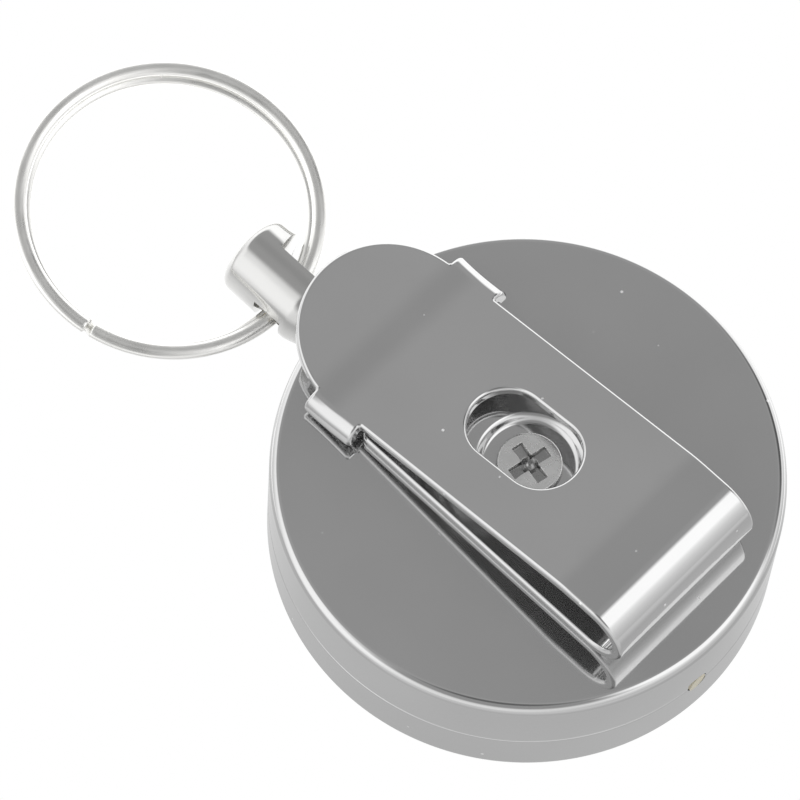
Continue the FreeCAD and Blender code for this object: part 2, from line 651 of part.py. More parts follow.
g = []
g.append(sk.addGeometry(Part.LineSegment(v2(*xy[0]), v2(*xy[1])), False))
g.append(sk.addGeometry(Part.Arc(v2(*xy[1]), v2(fx - P["fold_radius"], fz), v2(*xy[2])), False))
g.append(sk.addGeometry(Part.LineSegment(v2(*xy[2]), v2(*xy[3])), False))
g.append(sk.addGeometry(Part.Arc(v2(*xy[3]), v2(fx - P["fold_radius"] + P["clip_thick"], fz), v2(*xy[4])), False))
g.append(sk.addGeometry(Part.LineSegment(v2(*xy[4]), v2(*xy[5])), False))
g.append(sk.addGeometry(Part.LineSegment(v2(*xy[5]), v2(*xy[0])), False))


def pin_point(sk, geo, pos, ex, ey):
    if ex is not None:
        c = sk.addConstraint(Sketcher.Constraint("DistanceX", -1, 1, geo, pos, val(ex)))
        sk.setExpression("Constraints[%d]" % c, ex)
    if ey is not None:
        c = sk.addConstraint(Sketcher.Constraint("DistanceY", -1, 1, geo, pos, val(ey)))
        sk.setExpression("Constraints[%d]" % c, ey)


def end_index(sk, geo, x, z):
    for pos in (1, 2):
        p = sk.getPoint(geo, pos)
        if abs(p.x - x) < 1e-6 and abs(p.y - z) < 1e-6:
            return pos
    raise RuntimeError("no such end")


pin_point(sk, g[0], 1, *corners[0])
pin_point(sk, g[0], 2, *corners[1])
pin_point(sk, g[2], 1, *corners[2])
pin_point(sk, g[2], 2, *corners[3])
pin_point(sk, g[4], 1, *corners[4])
pin_point(sk, g[4], 2, *corners[5])
sk.addConstraint(Sketcher.Constraint("Coincident", g[0], 2, g[1], end_index(sk, g[1], *xy[1])))
sk.addConstraint(Sketcher.Constraint("Coincident", g[2], 1, g[1], end_index(sk, g[1], *xy[2])))
sk.addConstraint(Sketcher.Constraint("Coincident", g[2], 2, g[3], end_index(sk, g[3], *xy[3])))
sk.addConstraint(Sketcher.Constraint("Coincident", g[4], 1, g[3], end_index(sk, g[3], *xy[4])))
sk.addConstraint(Sketcher.Constraint("Coincident", g[4], 2, g[5], 1))
sk.addConstraint(Sketcher.Constraint("Coincident", g[5], 2, g[0], 1))
pin_point(sk, g[1], 3, "-Dims.fold_x", None)
pin_point(sk, g[3], 3, "-Dims.fold_x", None)
doc.recompute()
pad(b, "leaf_pad", sk, "Dims.clip_width", both=True)
# round the corners of the leaf's hidden end
fillet(b, "leaf_end_round", "4 * Dims.clip_thick / Dims.clip_thick", lambda e: (
    e.Curve.TypeId == "Part::GeomLine" and abs(e.BoundBox.XMin - P["leaf_end"]) < 1e-4
    and abs(e.BoundBox.XMax - P["leaf_end"]) < 1e-4 and e.BoundBox.ZLength > 0.5 and e.BoundBox.YLength < 1e-4))
# the dish for the screw's head: the flat is cut away and the pressed form added
sk = sketch_on(b, "dish_hole", "XY_Plane")
circle(sk, "0", "0", "Dims.dish_mouth_radius")
pocket(b, "dish_cut", sk, 13.5, True)
revolve(b, "dish_form", [
    ("Dims.screw_hole_radius", top + " - Dims.dish_depth"),
    ("Dims.dish_floor_radius", top + " - Dims.dish_depth"),
    ("Dims.dish_mouth_radius", top),
    ("Dims.dish_mouth_radius", top + " + " + th),
    ("Dims.dish_mouth_radius - 0.35", top + " + " + th),
    ("Dims.dish_floor_radius - 0.35", top + " - Dims.dish_depth + " + th),
    ("Dims.screw_hole_radius", top + " - Dims.dish_depth + " + th),
])
node("clip_base", b)

# Arm: flat near the fold, then sloping down, with a rounded tip that flares up
# again so it slips over a belt, an obround window over the screw and a curled
# tab on each edge near the tip.
b = new_body("arm_side_body")
sk = sketch_on(b, "arm_profile", "XZ_Plane")
arm_top = top + " + 2 * Dims.fold_radius"
drop = "(Dims.arm_flare_x + Dims.arm_bend_x) * tan(Dims.arm_slope)"
rise = "(Dims.arm_tip_x - Dims.arm_flare_x) * tan(Dims.arm_flare)"
polygon(sk, [
    ("-Dims.fold_x + Dims.split_gap", arm_top + " - " + th),
    ("-Dims.arm_bend_x", arm_top + " - " + th),
    ("Dims.arm_flare_x", arm_top + " - " + th + " - " + drop),
    ("Dims.arm_tip_x", arm_top + " - " + th + " - " + drop + " + " + rise),
    ("Dims.arm_tip_x", arm_top + " - " + drop + " + " + rise),
    ("Dims.arm_flare_x", arm_top + " - " + drop),
    ("-Dims.arm_bend_x", arm_top),
    ("-Dims.fold_x + Dims.split_gap", arm_top),
])
doc.recompute()
pad(b, "arm_strip", sk, "Dims.clip_width", both=True)
plan = fuse("arm_plan", [
    box("arm_plan_strip", "Dims.arm_tip_x + Dims.fold_x - Dims.clip_width / 2", "Dims.clip_width", "10",
        x="-Dims.fold_x", y="-Dims.clip_width / 2", z=top + " - 1.5"),
    cylinder("arm_plan_tip", "Dims.clip_width / 2", "10", x="Dims.arm_tip_x - Dims.clip_width / 2",
             z=top + " - 1.5"),
])
arm = common("arm_outline", b, plan)
window = fuse("arm_window", [
    cylinder("window_a", "Dims.window_width / 2", "8", x="Dims.window_x + (Dims.window_length - Dims.window_width) / 2",
             z=top + " + 1"),
    cylinder("window_b", "Dims.window_width / 2", "8", x="Dims.window_x - (Dims.window_length - Dims.window_width) / 2",
             z=top + " + 1"),
    box("window_c", "Dims.window_length - Dims.window_width", "Dims.window_width", "8",
        x="Dims.window_x - (Dims.window_length - Dims.window_width) / 2", y="-Dims.window_width / 2",
        z=top + " + 1"),
])
arm = cut("arm_windowed", arm, window)

# Each tab is a quarter of a tube along the arm's edge, bent outwards and down.
slope_deg = P["arm_slope"]
s_a, c_a = math.sin(math.radians(slope_deg)), math.cos(math.radians(slope_deg))
tabs = []
for side in (1, -1):
    # point of the arm's lower face at the start of the tab, on the edge
    x0 = P["tab_start"]
    z_top = P["case_height"] + 2 * P["fold_radius"] - (x0 + P["arm_bend_x"]) * math.tan(math.radians(slope_deg))
    outer, inner = P["tab_round"], P["tab_round"] - P["clip_thick"]
    axis_dir = FreeCAD.Vector(c_a, 0, -s_a)
    up_dir = FreeCAD.Vector(s_a, 0, c_a)
    out_dir = FreeCAD.Vector(0, side, 0)
    root = FreeCAD.Vector(x0, side * P["clip_width"] / 2, z_top) - up_dir * outer
    pts = []

    def at(rad, deg):
        a = math.radians(deg)
        return root + out_dir * (rad * math.sin(a)) + up_dir * (rad * math.cos(a))

    inward = out_dir * -0.3
    wire_t = Part.Wire([
        Part.LineSegment(at(outer, 0) + inward, at(outer, 0)).toShape(),
        Part.Arc(at(outer, 0), at(outer, 40), at(outer, 80)).toShape(),
        Part.LineSegment(at(outer, 80), at(inner, 80)).toShape(),
        Part.Arc(at(inner, 80), at(inner, 40), at(inner, 0)).toShape(),
        Part.LineSegment(at(inner, 0), at(inner, 0) + inward).toShape(),
        Part.LineSegment(at(inner, 0) + inward, at(outer, 0) + inward).toShape(),
    ])
    tabs.append(Part.Face(wire_t).extrude(axis_dir * P["tab_length"]))
tab_objects = []
for k, shape in enumerate(tabs):
    o = doc.addObject("Part::Feature", "arm_tab_%d" % k)
    o.Shape = shape
    tab_objects.append(o)
arm = fuse("arm_with_tabs", [arm] + tab_objects)
node("clip_arm", arm)

# ---------------------------------------------------------------- checks
doc.recompute()
bad = [o.Name for o in doc.Objects if ("Invalid" in o.State or "Error" in o.State)]
if bad:
    raise RuntimeError("failed objects: " + ", ".join(bad))
for name, obj in NODES.items():
    s = obj.Shape
    if s.isNull() or not s.isValid() or not s.Solids:
        raise RuntimeError("bad shape: " + name)
    bb = s.BoundBox
    print("%-14s vol %9.3f solids %d  x %.2f..%.2f y %.2f..%.2f z %.2f..%.2f" % (
        name, s.Volume, len(s.Solids), bb.XMin, bb.XMax, bb.YMin, bb.YMax, bb.ZMin, bb.ZMax))

os.makedirs("parts", exist_ok=True)
for name, obj in NODES.items():
    obj.Shape.exportStep(os.path.join("parts", name + ".step"))
print("wrote", len(NODES), "parts")
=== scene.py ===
import math

import bmesh
import bpy
import numpy as np
from mathutils import Matrix, Vector
from mathutils.geometry import delaunay_2d_cdt


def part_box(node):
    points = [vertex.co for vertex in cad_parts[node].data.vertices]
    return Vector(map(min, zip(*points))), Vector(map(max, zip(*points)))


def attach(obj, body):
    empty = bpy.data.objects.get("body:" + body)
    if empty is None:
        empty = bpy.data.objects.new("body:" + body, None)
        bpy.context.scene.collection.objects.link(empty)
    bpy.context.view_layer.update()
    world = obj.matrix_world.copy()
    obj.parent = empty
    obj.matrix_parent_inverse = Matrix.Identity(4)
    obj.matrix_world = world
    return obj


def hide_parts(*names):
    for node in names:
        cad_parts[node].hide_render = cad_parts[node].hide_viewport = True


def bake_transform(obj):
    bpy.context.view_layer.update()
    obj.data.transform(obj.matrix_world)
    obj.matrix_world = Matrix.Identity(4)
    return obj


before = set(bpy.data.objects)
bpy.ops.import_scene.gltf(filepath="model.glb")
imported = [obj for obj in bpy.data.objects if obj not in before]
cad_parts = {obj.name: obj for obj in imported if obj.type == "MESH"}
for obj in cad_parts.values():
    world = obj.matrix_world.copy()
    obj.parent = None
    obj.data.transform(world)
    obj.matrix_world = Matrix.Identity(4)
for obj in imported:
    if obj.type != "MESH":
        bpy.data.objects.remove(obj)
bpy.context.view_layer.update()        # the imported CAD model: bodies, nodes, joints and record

# Retractable badge reel, row frame: +Z from the front face towards the clip,
# +X the way the cord is pulled out. Mesh code below is in millimetres.
MM = 0.001
scene = bpy.context.scene


# ------------------------------------------------------------------ mesh tools
def add(name, verts, faces, normals=None):
    me = bpy.data.meshes.new(name)
    me.from_pydata([(x * MM, y * MM, z * MM) for x, y, z in verts], [], [list(map(int, f)) for f in faces])
    me.update()
    me.shade_smooth()
    ob = bpy.data.objects.new(name, me)
    scene.collection.objects.link(ob)
    if normals is not None:
        me.normals_split_custom_set_from_vertices([tuple(n) for n in normals])
    return ob


def outward(ob):
    bm = bmesh.new()
    bm.from_mesh(ob.data)
    bmesh.ops.remove_doubles(bm, verts=bm.verts, dist=1e-8)
    bmesh.ops.recalc_face_normals(bm, faces=bm.faces)
    bm.to_mesh(ob.data)
    bm.free()
    ob.data.shade_smooth()
    return ob


def arc(cx, cz, r, a0, a1, n):
    return [(cx + r * math.cos(math.radians(a0 + (a1 - a0) * i / n)),
             cz + r * math.sin(math.radians(a0 + (a1 - a0) * i / n))) for i in range(n + 1)]


def lathe(name, profile, steps=192, axis="Z", at=(0, 0, 0)):
    """Closed profile of (radius, height) turned about Z or X through `at`."""
    verts, rings = [], []
    ca = [math.cos(2 * math.pi * i / steps) for i in range(steps)]
    sa = [math.sin(2 * math.pi * i / steps) for i in range(steps)]
    for r, h in profile:
        start = len(verts)
        if r < 1e-6:
            verts.append((0, 0, h))
            rings.append([start] * steps)
        else:
            verts += [(r * c, r * s, h) for c, s in zip(ca, sa)]
            rings.append(list(range(start, start + steps)))
    faces = []
    for k in range(len(profile)):
        a, b = rings[k], rings[(k + 1) % len(profile)]
        if a[0] == a[1] and b[0] == b[1]:
            continue
        for i in range(steps):
            j = (i + 1) % steps
            f = [a[i], a[j], b[j], b[i]]
            f = [v for n, v in enumerate(f) if v not in f[:n]]
            if len(f) > 2:
                faces.append(f)
    if axis == "X":
        verts = [(z, x, y) for x, y, z in verts]
    verts = [(x + at[0], y + at[1], z + at[2]) for x, y, z in verts]
    return outward(add(name, verts, faces))


def prism(name, corners, x0, x1):
    """Solid whose section in (y, z) is `corners`, from x0 to x1."""
    n = len(corners)
    verts = [(x0, y, z) for y, z in corners] + [(x1, y, z) for y, z in corners]
    faces = [list(range(n)), list(range(n, 2 * n))] + [[i, (i + 1) % n, n + (i + 1) % n, n + i] for i in range(n)]
    return outward(add(name, verts, faces))


def settle(ob):
    """Applies the modifiers."""
    dg = bpy.context.evaluated_depsgraph_get()
    dg.update()
    me = bpy.data.meshes.new_from_object(ob.evaluated_get(dg))
    ob.modifiers.clear()
    old = ob.data
    ob.data = me
    bpy.data.meshes.remove(old)
    return ob


def cut(ob, *tools):
    for tool in tools:
        m = ob.modifiers.new("cut", "BOOLEAN")
        m.operation = "DIFFERENCE"
        m.solver = "EXACT"
        m.object = tool
    settle(ob)
    for tool in tools:
        bpy.data.objects.remove(tool)
    ob.data.shade_smooth()
    return ob


def bevel(ob, width, angle=35, segments=3):
    m = ob.modifiers.new("edges", "BEVEL")
    m.width = width * MM
    m.segments = segments
    m.limit_method = "ANGLE"
    m.angle_limit = math.radians(angle)
    m.harden_normals = False
    m.use_clamp_overlap = True
    settle(ob)
    ob.data.shade_smooth()
    return ob


# --------------------------------------------------------------- sheet-metal
class Strip:
    """Mid-line of a bent strip in the X-Z plane, followed by its length."""

    def __init__(self, x, z, heading, parts):
        self.parts, self.length = [], 0.0
        th = math.radians(heading)
        for kind, size, turn in parts:
            if kind == "line":
                self.parts.append((self.length, size, x, z, th, 0.0))
                x, z = x + size * math.cos(th), z + size * math.sin(th)
                self.length += size
            else:                      # arc: size is its radius, turn in degrees, left positive
                t = math.radians(turn)
                self.parts.append((self.length, size * abs(t), x, z, th, math.copysign(1 / size, t)))
                c = math.copysign(size, t)
                cx, cz = x - c * math.sin(th), z + c * math.cos(th)
                th += t
                x, z = cx + c * math.sin(th), cz - c * math.cos(th)
                self.length += size * abs(t)

    def at(self, a):
        part = self.parts[0]
        for p in self.parts:
            if a >= p[0] - 1e-9:
                part = p
        s, x, z, th, k = a - part[0], part[2], part[3], part[4], part[5]
        if abs(k) < 1e-12:
            return x + s * math.cos(th), z + s * math.sin(th), th
        c = 1 / k
        cx, cz = x - c * math.sin(th), z + c * math.cos(th)
        t = th + s * k
        return cx + c * math.sin(t), cz - c * math.cos(t), t

    def reach(self, x, part=-1):
        """Length along a straight part (the last one unless told) at which it passes x."""
        p = self.parts[part]
        return p[0] + (x - p[2]) / math.cos(p[4])

    def rows(self, step=0.16):
        """Lengths at which the bent parts need a row of points."""
        out = []
        for start, size, _, _, _, k in self.parts:
            if k:
                n = max(2, int(math.ceil(size / min(step, 0.06 / abs(k)))))
                out += [start + size * i / n for i in range(n + 1)]
        return out


def inside(points, loop):
    """Which of `points` lie inside the closed polygon `loop`."""
    x, y = points[:, 0], points[:, 1]
    hit = np.zeros(len(points), bool)
    px, py = loop[:, 0], loop[:, 1]
    qx, qy = np.roll(px, -1), np.roll(py, -1)
    for i in range(len(loop)):
        cross = (py[i] > y) != (qy[i] > y)
        if cross.any():
            xs = px[i] + (y - py[i]) * (qx[i] - px[i]) / ((qy[i] - py[i]) or 1e-12)
            hit ^= cross & (x < xs)
    return hit


def pressed_sheet(name, strip, outer, holes, inner_points, thick, edge, half_width, tab_bend, seam=True, dent=None):
    """A strip of metal with rounded edges, cut flat as (length, y) and bent along `strip`.

    outer is counter-clockwise, holes clockwise. Points of the outer loop at length 0 are the
    seam to the other half of the same strip and stay sharp. Past half_width the sheet bends
    down round tab_bend. dent(r) is how far a round dent about the Z axis lowers the sheet."""
    t = thick / 2
    loops = [np.array(outer, float)] + [np.array(h, float) for h in holes]
    n_edge = 8
    profile = []
    for i in range(n_edge + 1):
        f = math.radians(90 - 90 * i / n_edge)
        profile.append((edge * (1 - math.cos(f)), t - edge + edge * math.sin(f), math.cos(f), math.sin(f)))
    profile += [(d, -h, c, -s) for d, h, c, s in reversed(profile)]
    flat, norm, faces = [], [], []
    top_ids, bottom_ids, constraints, flat2d = [], [], [], []
    for loop in loops:
        n = len(loop)
        ahead, back = np.roll(loop, -1, 0) - loop, loop - np.roll(loop, 1, 0)
        ahead /= np.linalg.norm(ahead, axis=1)[:, None]
        back /= np.linalg.norm(back, axis=1)[:, None]
        tangent = ahead + back
        tangent /= np.linalg.norm(tangent, axis=1)[:, None]
        inward = np.stack([-tangent[:, 1], tangent[:, 0]], 1)
        k = np.ones(n)
        if seam:
            on = np.abs(loop[:, 0]) < 1e-6
            for i in np.where(on)[0]:
                if abs(abs(loop[i, 1]) - half_width) < 1e-6:
                    inward[i] = (0, -math.copysign(1, loop[i, 1]))
                else:
                    k[i] = 0
        base = []
        for d, h, c, s in profile:
            base.append(len(flat))
            for i in range(n):
                p = loop[i] + inward[i] * d * k[i]
                flat.append((p[0], p[1], h))
                if k[i] == 0:
                    norm.append((0, 0, 1 if h > 0 else -1))
                else:
                    norm.append((-inward[i][0] * c, -inward[i][1] * c, s))
        for a, b in zip(base[:-1], base[1:]):
            for i in range(n):
                j = (i + 1) % n
                faces.append((a + i, b + i, b + j, a + j))
        start = len(flat2d)
        for i in range(n):
            flat2d.append(flat[base[0] + i][:2])
            top_ids.append(base[0] + i)
            bottom_ids.append(base[-1] + i)
            constraints.append((start + i, start + (i + 1) % n))
    rims = [np.array([flat2d[a] for a, _ in constraints[s:e]]) for s, e in
            zip(np.cumsum([0] + [len(l) for l in loops])[:-1], np.cumsum([len(l) for l in loops]))]
    extra = np.array(inner_points, float)
    keep = inside(extra, rims[0])
    for rim in rims[1:]:
        keep &= ~inside(extra, rim)
    edge_points = np.concatenate(rims)
    for i in np.where(keep)[0]:
        if np.min(np.hypot(*(edge_points - extra[i]).T)) < 0.05:
            keep[i] = False
    for p in extra[keep]:
        flat2d.append((p[0], p[1]))
        top_ids.append(len(flat))
        flat.append((p[0], p[1], t)); norm.append((0, 0, 1))
        bottom_ids.append(len(flat))
        flat.append((p[0], p[1], -t)); norm.append((0, 0, -1))
    out = delaunay_2d_cdt([Vector(p) for p in flat2d], constraints, [], 0, 1e-7)
    tri = np.array([[out[3][v][0] for v in f] for f in out[2] if all(len(out[3][v]) for v in f)])
    mid = np.array([[flat2d[v] for v in f] for f in tri]).mean(1)
    ok = inside(mid, rims[0])
    for rim in rims[1:]:
        ok &= ~inside(mid, rim)
    for f in tri[ok]:
        p = np.array([flat2d[v] for v in f])
        area = (p[1, 0] - p[0, 0]) * (p[2, 1] - p[0, 1]) - (p[2, 0] - p[0, 0]) * (p[1, 1] - p[0, 1])
        f = list(f) if area > 0 else list(f)[::-1]
        faces.append([top_ids[v] for v in f])
        faces.append([bottom_ids[v] for v in reversed(f)])
    verts, normals = [], []
    for (a, y, h), (na, ny, nh) in zip(flat, norm):
        x, z, th = strip.at(a)
        along = np.array((math.cos(th), 0, math.sin(th)))
        up = np.array((-math.sin(th), 0, math.cos(th)))
        s = 1.0 if y >= 0 else -1.0
        over = abs(y) - half_width
        if tab_bend and over > 0:
            f = min(over / tab_bend, math.pi / 2)
            rest = over - f * tab_bend
            side = np.array((0, s, 0))
            outwards = side * math.cos(f) - up * math.sin(f)
            face = side * math.sin(f) + up * math.cos(f)
            p = np.array((x, 0, z)) + side * half_width - up * tab_bend + face * (tab_bend + h) + outwards * rest
            n = along * na + outwards * s * ny + face * nh
        else:
            p = np.array((x, 0, z)) + up * h + np.array((0, y, 0))
            n = along * na + np.array((0, 1, 0)) * ny + up * nh
        if dent and z < 12.6:
            r = math.hypot(p[0], p[1])
            e = 1e-3
            slope = (dent(r + e) - dent(r - e)) / (2 * e)
            p = p - np.array((0, 0, dent(r)))
            if r > 1e-6 and abs(slope) > 1e-9:
                n = n + np.array((slope * p[0] / r, slope * p[1] / r, 0)) * n[2]
        verts.append(tuple(p))
        normals.append(tuple(n / (np.linalg.norm(n) or 1)))
    ob = add(name, verts, faces, None)
    bm = bmesh.new()
    bm.from_mesh(ob.data)
    bmesh.ops.recalc_face_normals(bm, faces=bm.faces)
    bm.to_mesh(ob.data)
    bm.free()
    ob.data.shade_smooth()
    ob.data.normals_split_custom_set_from_vertices(normals)
    return ob


def run(p, q, step, first=True, last=False):
    """Points from p to q about `step` apart."""
    n = max(1, int(round(math.hypot(q[0] - p[0], q[1] - p[1]) / step)))
    pts = [(p[0] + (q[0] - p[0]) * i / n, p[1] + (q[1] - p[1]) * i / n) for i in range(n + 1)]
    return pts[0 if first else 1:None if last else -1]


# ------------------------------------------------------------------- materials
def node(nt, kind, **props):
    n = nt.nodes.new(kind)
    for key, value in props.items():
        if key == "inputs":
            for k, v in value.items():
                n.inputs[k].default_value = v
        else:
            setattr(n, key, value)
    return n


def material(name, color, metallic, roughness):
    m = bpy.data.materials.new(name)
    m.use_nodes = True
    b = m.node_tree.nodes["Principled BSDF"]
    b.inputs["Base Color"].default_value = (*color, 1)
    b.inputs["Metallic"].default_value = metallic
    b.inputs["Roughness"].default_value = roughness
    return m, m.node_tree, b


def spread(nt, source, lo, hi, from_lo=0.3, from_hi=0.7):
    r = node(nt, "ShaderNodeMapRange", inputs={"From Min": from_lo, "From Max": from_hi, "To Min": lo, "To Max": hi})
    nt.links.new(source, r.inputs["Value"])
    return r.outputs["Result"]


def mixed(nt, factor, a, b):
    m = node(nt, "ShaderNodeMix", data_type="RGBA")
    nt.links.new(factor, m.inputs["Factor"])
    for value, socket in ((a, m.inputs["A"]), (b, m.inputs["B"])):
        if isinstance(value, tuple):
            socket.default_value = (*value, 1)
        else:
            nt.links.new(value, socket)
    return m.outputs["Result"]


def chrome(name, color, rough=(0.04, 0.09), specks=0.86, wave=6e-6):
    """Plated metal: faint orange peel, soft haze patches, hairline marks and tiny dust specks."""
    m, nt, b = material(name, color, 0.94, rough[0])
    L = nt.links.new
    co = node(nt, "ShaderNodeTexCoord").outputs["Object"]
    haze = node(nt, "ShaderNodeTexNoise", inputs={"Scale": 230.0, "Detail": 4.0, "Roughness": 0.6})
    L(co, haze.inputs["Vector"])
    wipe = node(nt, "ShaderNodeMapping", inputs={"Rotation": (0.2, 0.1, 0.9), "Scale": (1.0, 14.0, 6.0)})
    L(co, wipe.inputs["Vector"])
    lines = node(nt, "ShaderNodeTexNoise", inputs={"Scale": 420.0, "Detail": 3.0, "Roughness": 0.7})
    L(wipe.outputs["Vector"], lines.inputs["Vector"])
    hair = spread(nt, lines.outputs["Fac"], 0.0, 0.02, 0.66, 0.78)
    dots = node(nt, "ShaderNodeTexVoronoi", inputs={"Scale": 380.0, "Randomness": 1.0})
    L(co, dots.inputs["Vector"])
    dot = spread(nt, dots.outputs["Distance"], 1.0, 0.0, 0.030, 0.062)
    pick = node(nt, "ShaderNodeSeparateColor")
    L(dots.outputs["Color"], pick.inputs["Color"])
    chosen = node(nt, "ShaderNodeMath", operation="GREATER_THAN", inputs={1: specks})
    L(pick.outputs["Red"], chosen.inputs[0])
    speck = node(nt, "ShaderNodeMath", operation="MULTIPLY")
    L(dot, speck.inputs[0])
    L(chosen.outputs["Value"], speck.inputs[1])
    base = spread(nt, haze.outputs["Fac"], rough[0], rough[1])
    total = node(nt, "ShaderNodeMath", operation="ADD")
    L(base, total.inputs[0])
    L(hair, total.inputs[1])
    dusty = node(nt, "ShaderNodeMath", operation="MULTIPLY_ADD", inputs={1: 0.45})
    L(speck.outputs["Value"], dusty.inputs[0])
    L(total.outputs["Value"], dusty.inputs[2])
    L(dusty.outputs["Value"], b.inputs["Roughness"])
    slow = node(nt, "ShaderNodeTexNoise", inputs={"Scale": 45.0, "Detail": 3.0, "Roughness": 0.55})
    L(co, slow.inputs["Vector"])
    tone = mixed(nt, spread(nt, slow.outputs["Fac"], 0.0, 1.0), tuple(c * 0.96 for c in color), tuple(min(1, c * 1.05) for c in color))
    tone = mixed(nt, speck.outputs["Value"], tone, tuple(min(1, c * 1.65) for c in color))
    L(tone, b.inputs["Base Color"])
    peel = node(nt, "ShaderNodeTexNoise", inputs={"Scale": 150.0, "Detail": 2.0, "Roughness": 0.5})
    L(co, peel.inputs["Vector"])
    bump = node(nt, "ShaderNodeBump", inputs={"Strength": 1.0, "Distance": wave})
    L(peel.outputs["Fac"], bump.inputs["Height"])
    L(bump.outputs["Normal"], b.inputs["Normal"])
    return m


def wire_metal(name, color, centre, tilt):
    """Drawn wire bent into a ring: fine lines run round it."""
    m, nt, b = material(name, color, 1.0, 0.30)
    L = nt.links.new
    co = node(nt, "ShaderNodeTexCoord").outputs["Object"]
    local = node(nt, "ShaderNodeVectorMath", operation="SUBTRACT", inputs={1: centre})
    L(co, local.inputs[0])
    flat = node(nt, "ShaderNodeVectorRotate", rotation_type="Y_AXIS", inputs={"Angle": tilt})
    L(local.outputs["Vector"], flat.inputs["Vector"])
    xyz = node(nt, "ShaderNodeSeparateXYZ")
    L(flat.outputs["Vector"], xyz.inputs["Vector"])
    squares = []
    for ax in ("X", "Y"):
        q = node(nt, "ShaderNodeMath", operation="POWER", inputs={1: 2.0})
        L(xyz.outputs[ax], q.inputs[0])
        squares.append(q)
    add_ = node(nt, "ShaderNodeMath", operation="ADD")
    L(squares[0].outputs["Value"], add_.inputs[0])
    L(squares[1].outputs["Value"], add_.inputs[1])
    radius = node(nt, "ShaderNodeMath", operation="SQRT")
    L(add_.outputs["Value"], radius.inputs[0])
    turn = node(nt, "ShaderNodeMath", operation="ARCTAN2")
    L(xyz.outputs["Y"], turn.inputs[0])
    L(xyz.outputs["X"], turn.inputs[1])
    slow = node(nt, "ShaderNodeMath", operation="MULTIPLY", inputs={1: 0.00045})
    L(turn.outputs["Value"], slow.inputs[0])
    pos = node(nt, "ShaderNodeCombineXYZ")
    L(radius.outputs["Value"], pos.inputs["X"])
    L(xyz.outputs["Z"], pos.inputs["Y"])
    L(slow.outputs["Value"], pos.inputs["Z"])
    lines = node(nt, "ShaderNodeTexNoise", inputs={"Scale": 7000.0, "Detail": 3.0, "Roughness": 0.6})
    L(pos.outputs["Vector"], lines.inputs["Vector"])
    patch = node(nt, "ShaderNodeTexNoise", inputs={"Scale": 500.0, "Detail": 3.0})
    L(co, patch.inputs["Vector"])
    L(spread(nt, patch.outputs["Fac"], 0.26, 0.36), b.inputs["Roughness"])
    tone = mixed(nt, lines.outputs["Fac"], tuple(c * 0.88 for c in color), tuple(min(1, c * 1.10) for c in color))
    L(tone, b.inputs["Base Color"])
    bump = node(nt, "ShaderNodeBump", inputs={"Strength": 0.8, "Distance": 1.1e-5})
    L(lines.outputs["Fac"], bump.inputs["Height"])
    L(bump.outputs["Normal"], b.inputs["Normal"])
    return m


def brushed(name, color, rough, stretch, depth=6e-6, scale=1500.0):
    """Plain metal with directional tool or rolling marks."""
    m, nt, b = material(name, color, 1.0, rough)
    L = nt.links.new
    co = node(nt, "ShaderNodeTexCoord").outputs["Object"]
    mp = node(nt, "ShaderNodeMapping", inputs={"Scale": stretch})
    L(co, mp.inputs["Vector"])
    tex = node(nt, "ShaderNodeTexNoise", inputs={"Scale": scale, "Detail": 5.0, "Roughness": 0.65})
    L(mp.outputs["Vector"], tex.inputs["Vector"])
    L(spread(nt, tex.outputs["Fac"], rough * 0.7, rough * 1.3), b.inputs["Roughness"])
    L(mixed(nt, tex.outputs["Fac"], tuple(c * 0.88 for c in color), tuple(min(1, c * 1.08) for c in color)),
      b.inputs["Base Color"])
    bump = node(nt, "ShaderNodeBump", inputs={"Strength": 0.7, "Distance": depth})
    L(tex.outputs["Fac"], bump.inputs["Height"])
    L(bump.outputs["Normal"], b.inputs["Normal"])
    return m


def zinc_with_painted_shade(name, color, rough, top, low):
    """Bright zinc with painted shade: the base colour darkens to 0.42 below the head's top face, standing in for the
    shadow round the head and inside the case.
    """
    m = brushed(name, color, rough, (1, 1, 1), 6e-6, 900.0)
    nt, b = m.node_tree, m.node_tree.nodes["Principled BSDF"]
    xyz = node(nt, "ShaderNodeSeparateXYZ")
    nt.links.new(node(nt, "ShaderNodeTexCoord").outputs["Object"], xyz.inputs["Vector"])
    # painted shade: the mask runs from 0 at `low` to 1 at `top`, and below it the colour is the darkened copy
    height = spread(nt, xyz.outputs["Z"], 0.0, 1.0, low * MM, top * MM)
    plain = b.inputs["Base Color"].links[0].from_socket
    nt.links.new(mixed(nt, height, tuple(c * 0.42 for c in color), plain), b.inputs["Base Color"])
    return m


def moulded(name, color, rough, scale=1800.0, depth=1.2e-5, sub=0.0, vary=0.08):
    """Injection-moulded plastic: fine spark-eroded grain and slow colour drift."""
    m, nt, b = material(name, color, 0.0, rough)
    L = nt.links.new
    co = node(nt, "ShaderNodeTexCoord").outputs["Object"]
    grain = node(nt, "ShaderNodeTexNoise", inputs={"Scale": scale, "Detail": 4.0, "Roughness": 0.6})
    L(co, grain.inputs["Vector"])
    drift = node(nt, "ShaderNodeTexNoise", inputs={"Scale": 120.0, "Detail": 2.0})
    L(co, drift.inputs["Vector"])
    L(mixed(nt, drift.outputs["Fac"], tuple(c * (1 - vary) for c in color), tuple(min(1, c * (1 + vary)) for c in color)),
      b.inputs["Base Color"])
    L(spread(nt, grain.outputs["Fac"], rough * 0.8, min(1, rough * 1.2)), b.inputs["Roughness"])
    bump = node(nt, "ShaderNodeBump", inputs={"Strength": 0.5, "Distance": depth})
    L(grain.outputs["Fac"], bump.inputs["Height"])
    L(bump.outputs["Normal"], b.inputs["Normal"])
    if sub:
        b.inputs["Subsurface Weight"].default_value = sub
        b.inputs["Subsurface Radius"].default_value = (0.0008, 0.0006, 0.0004)
    return m


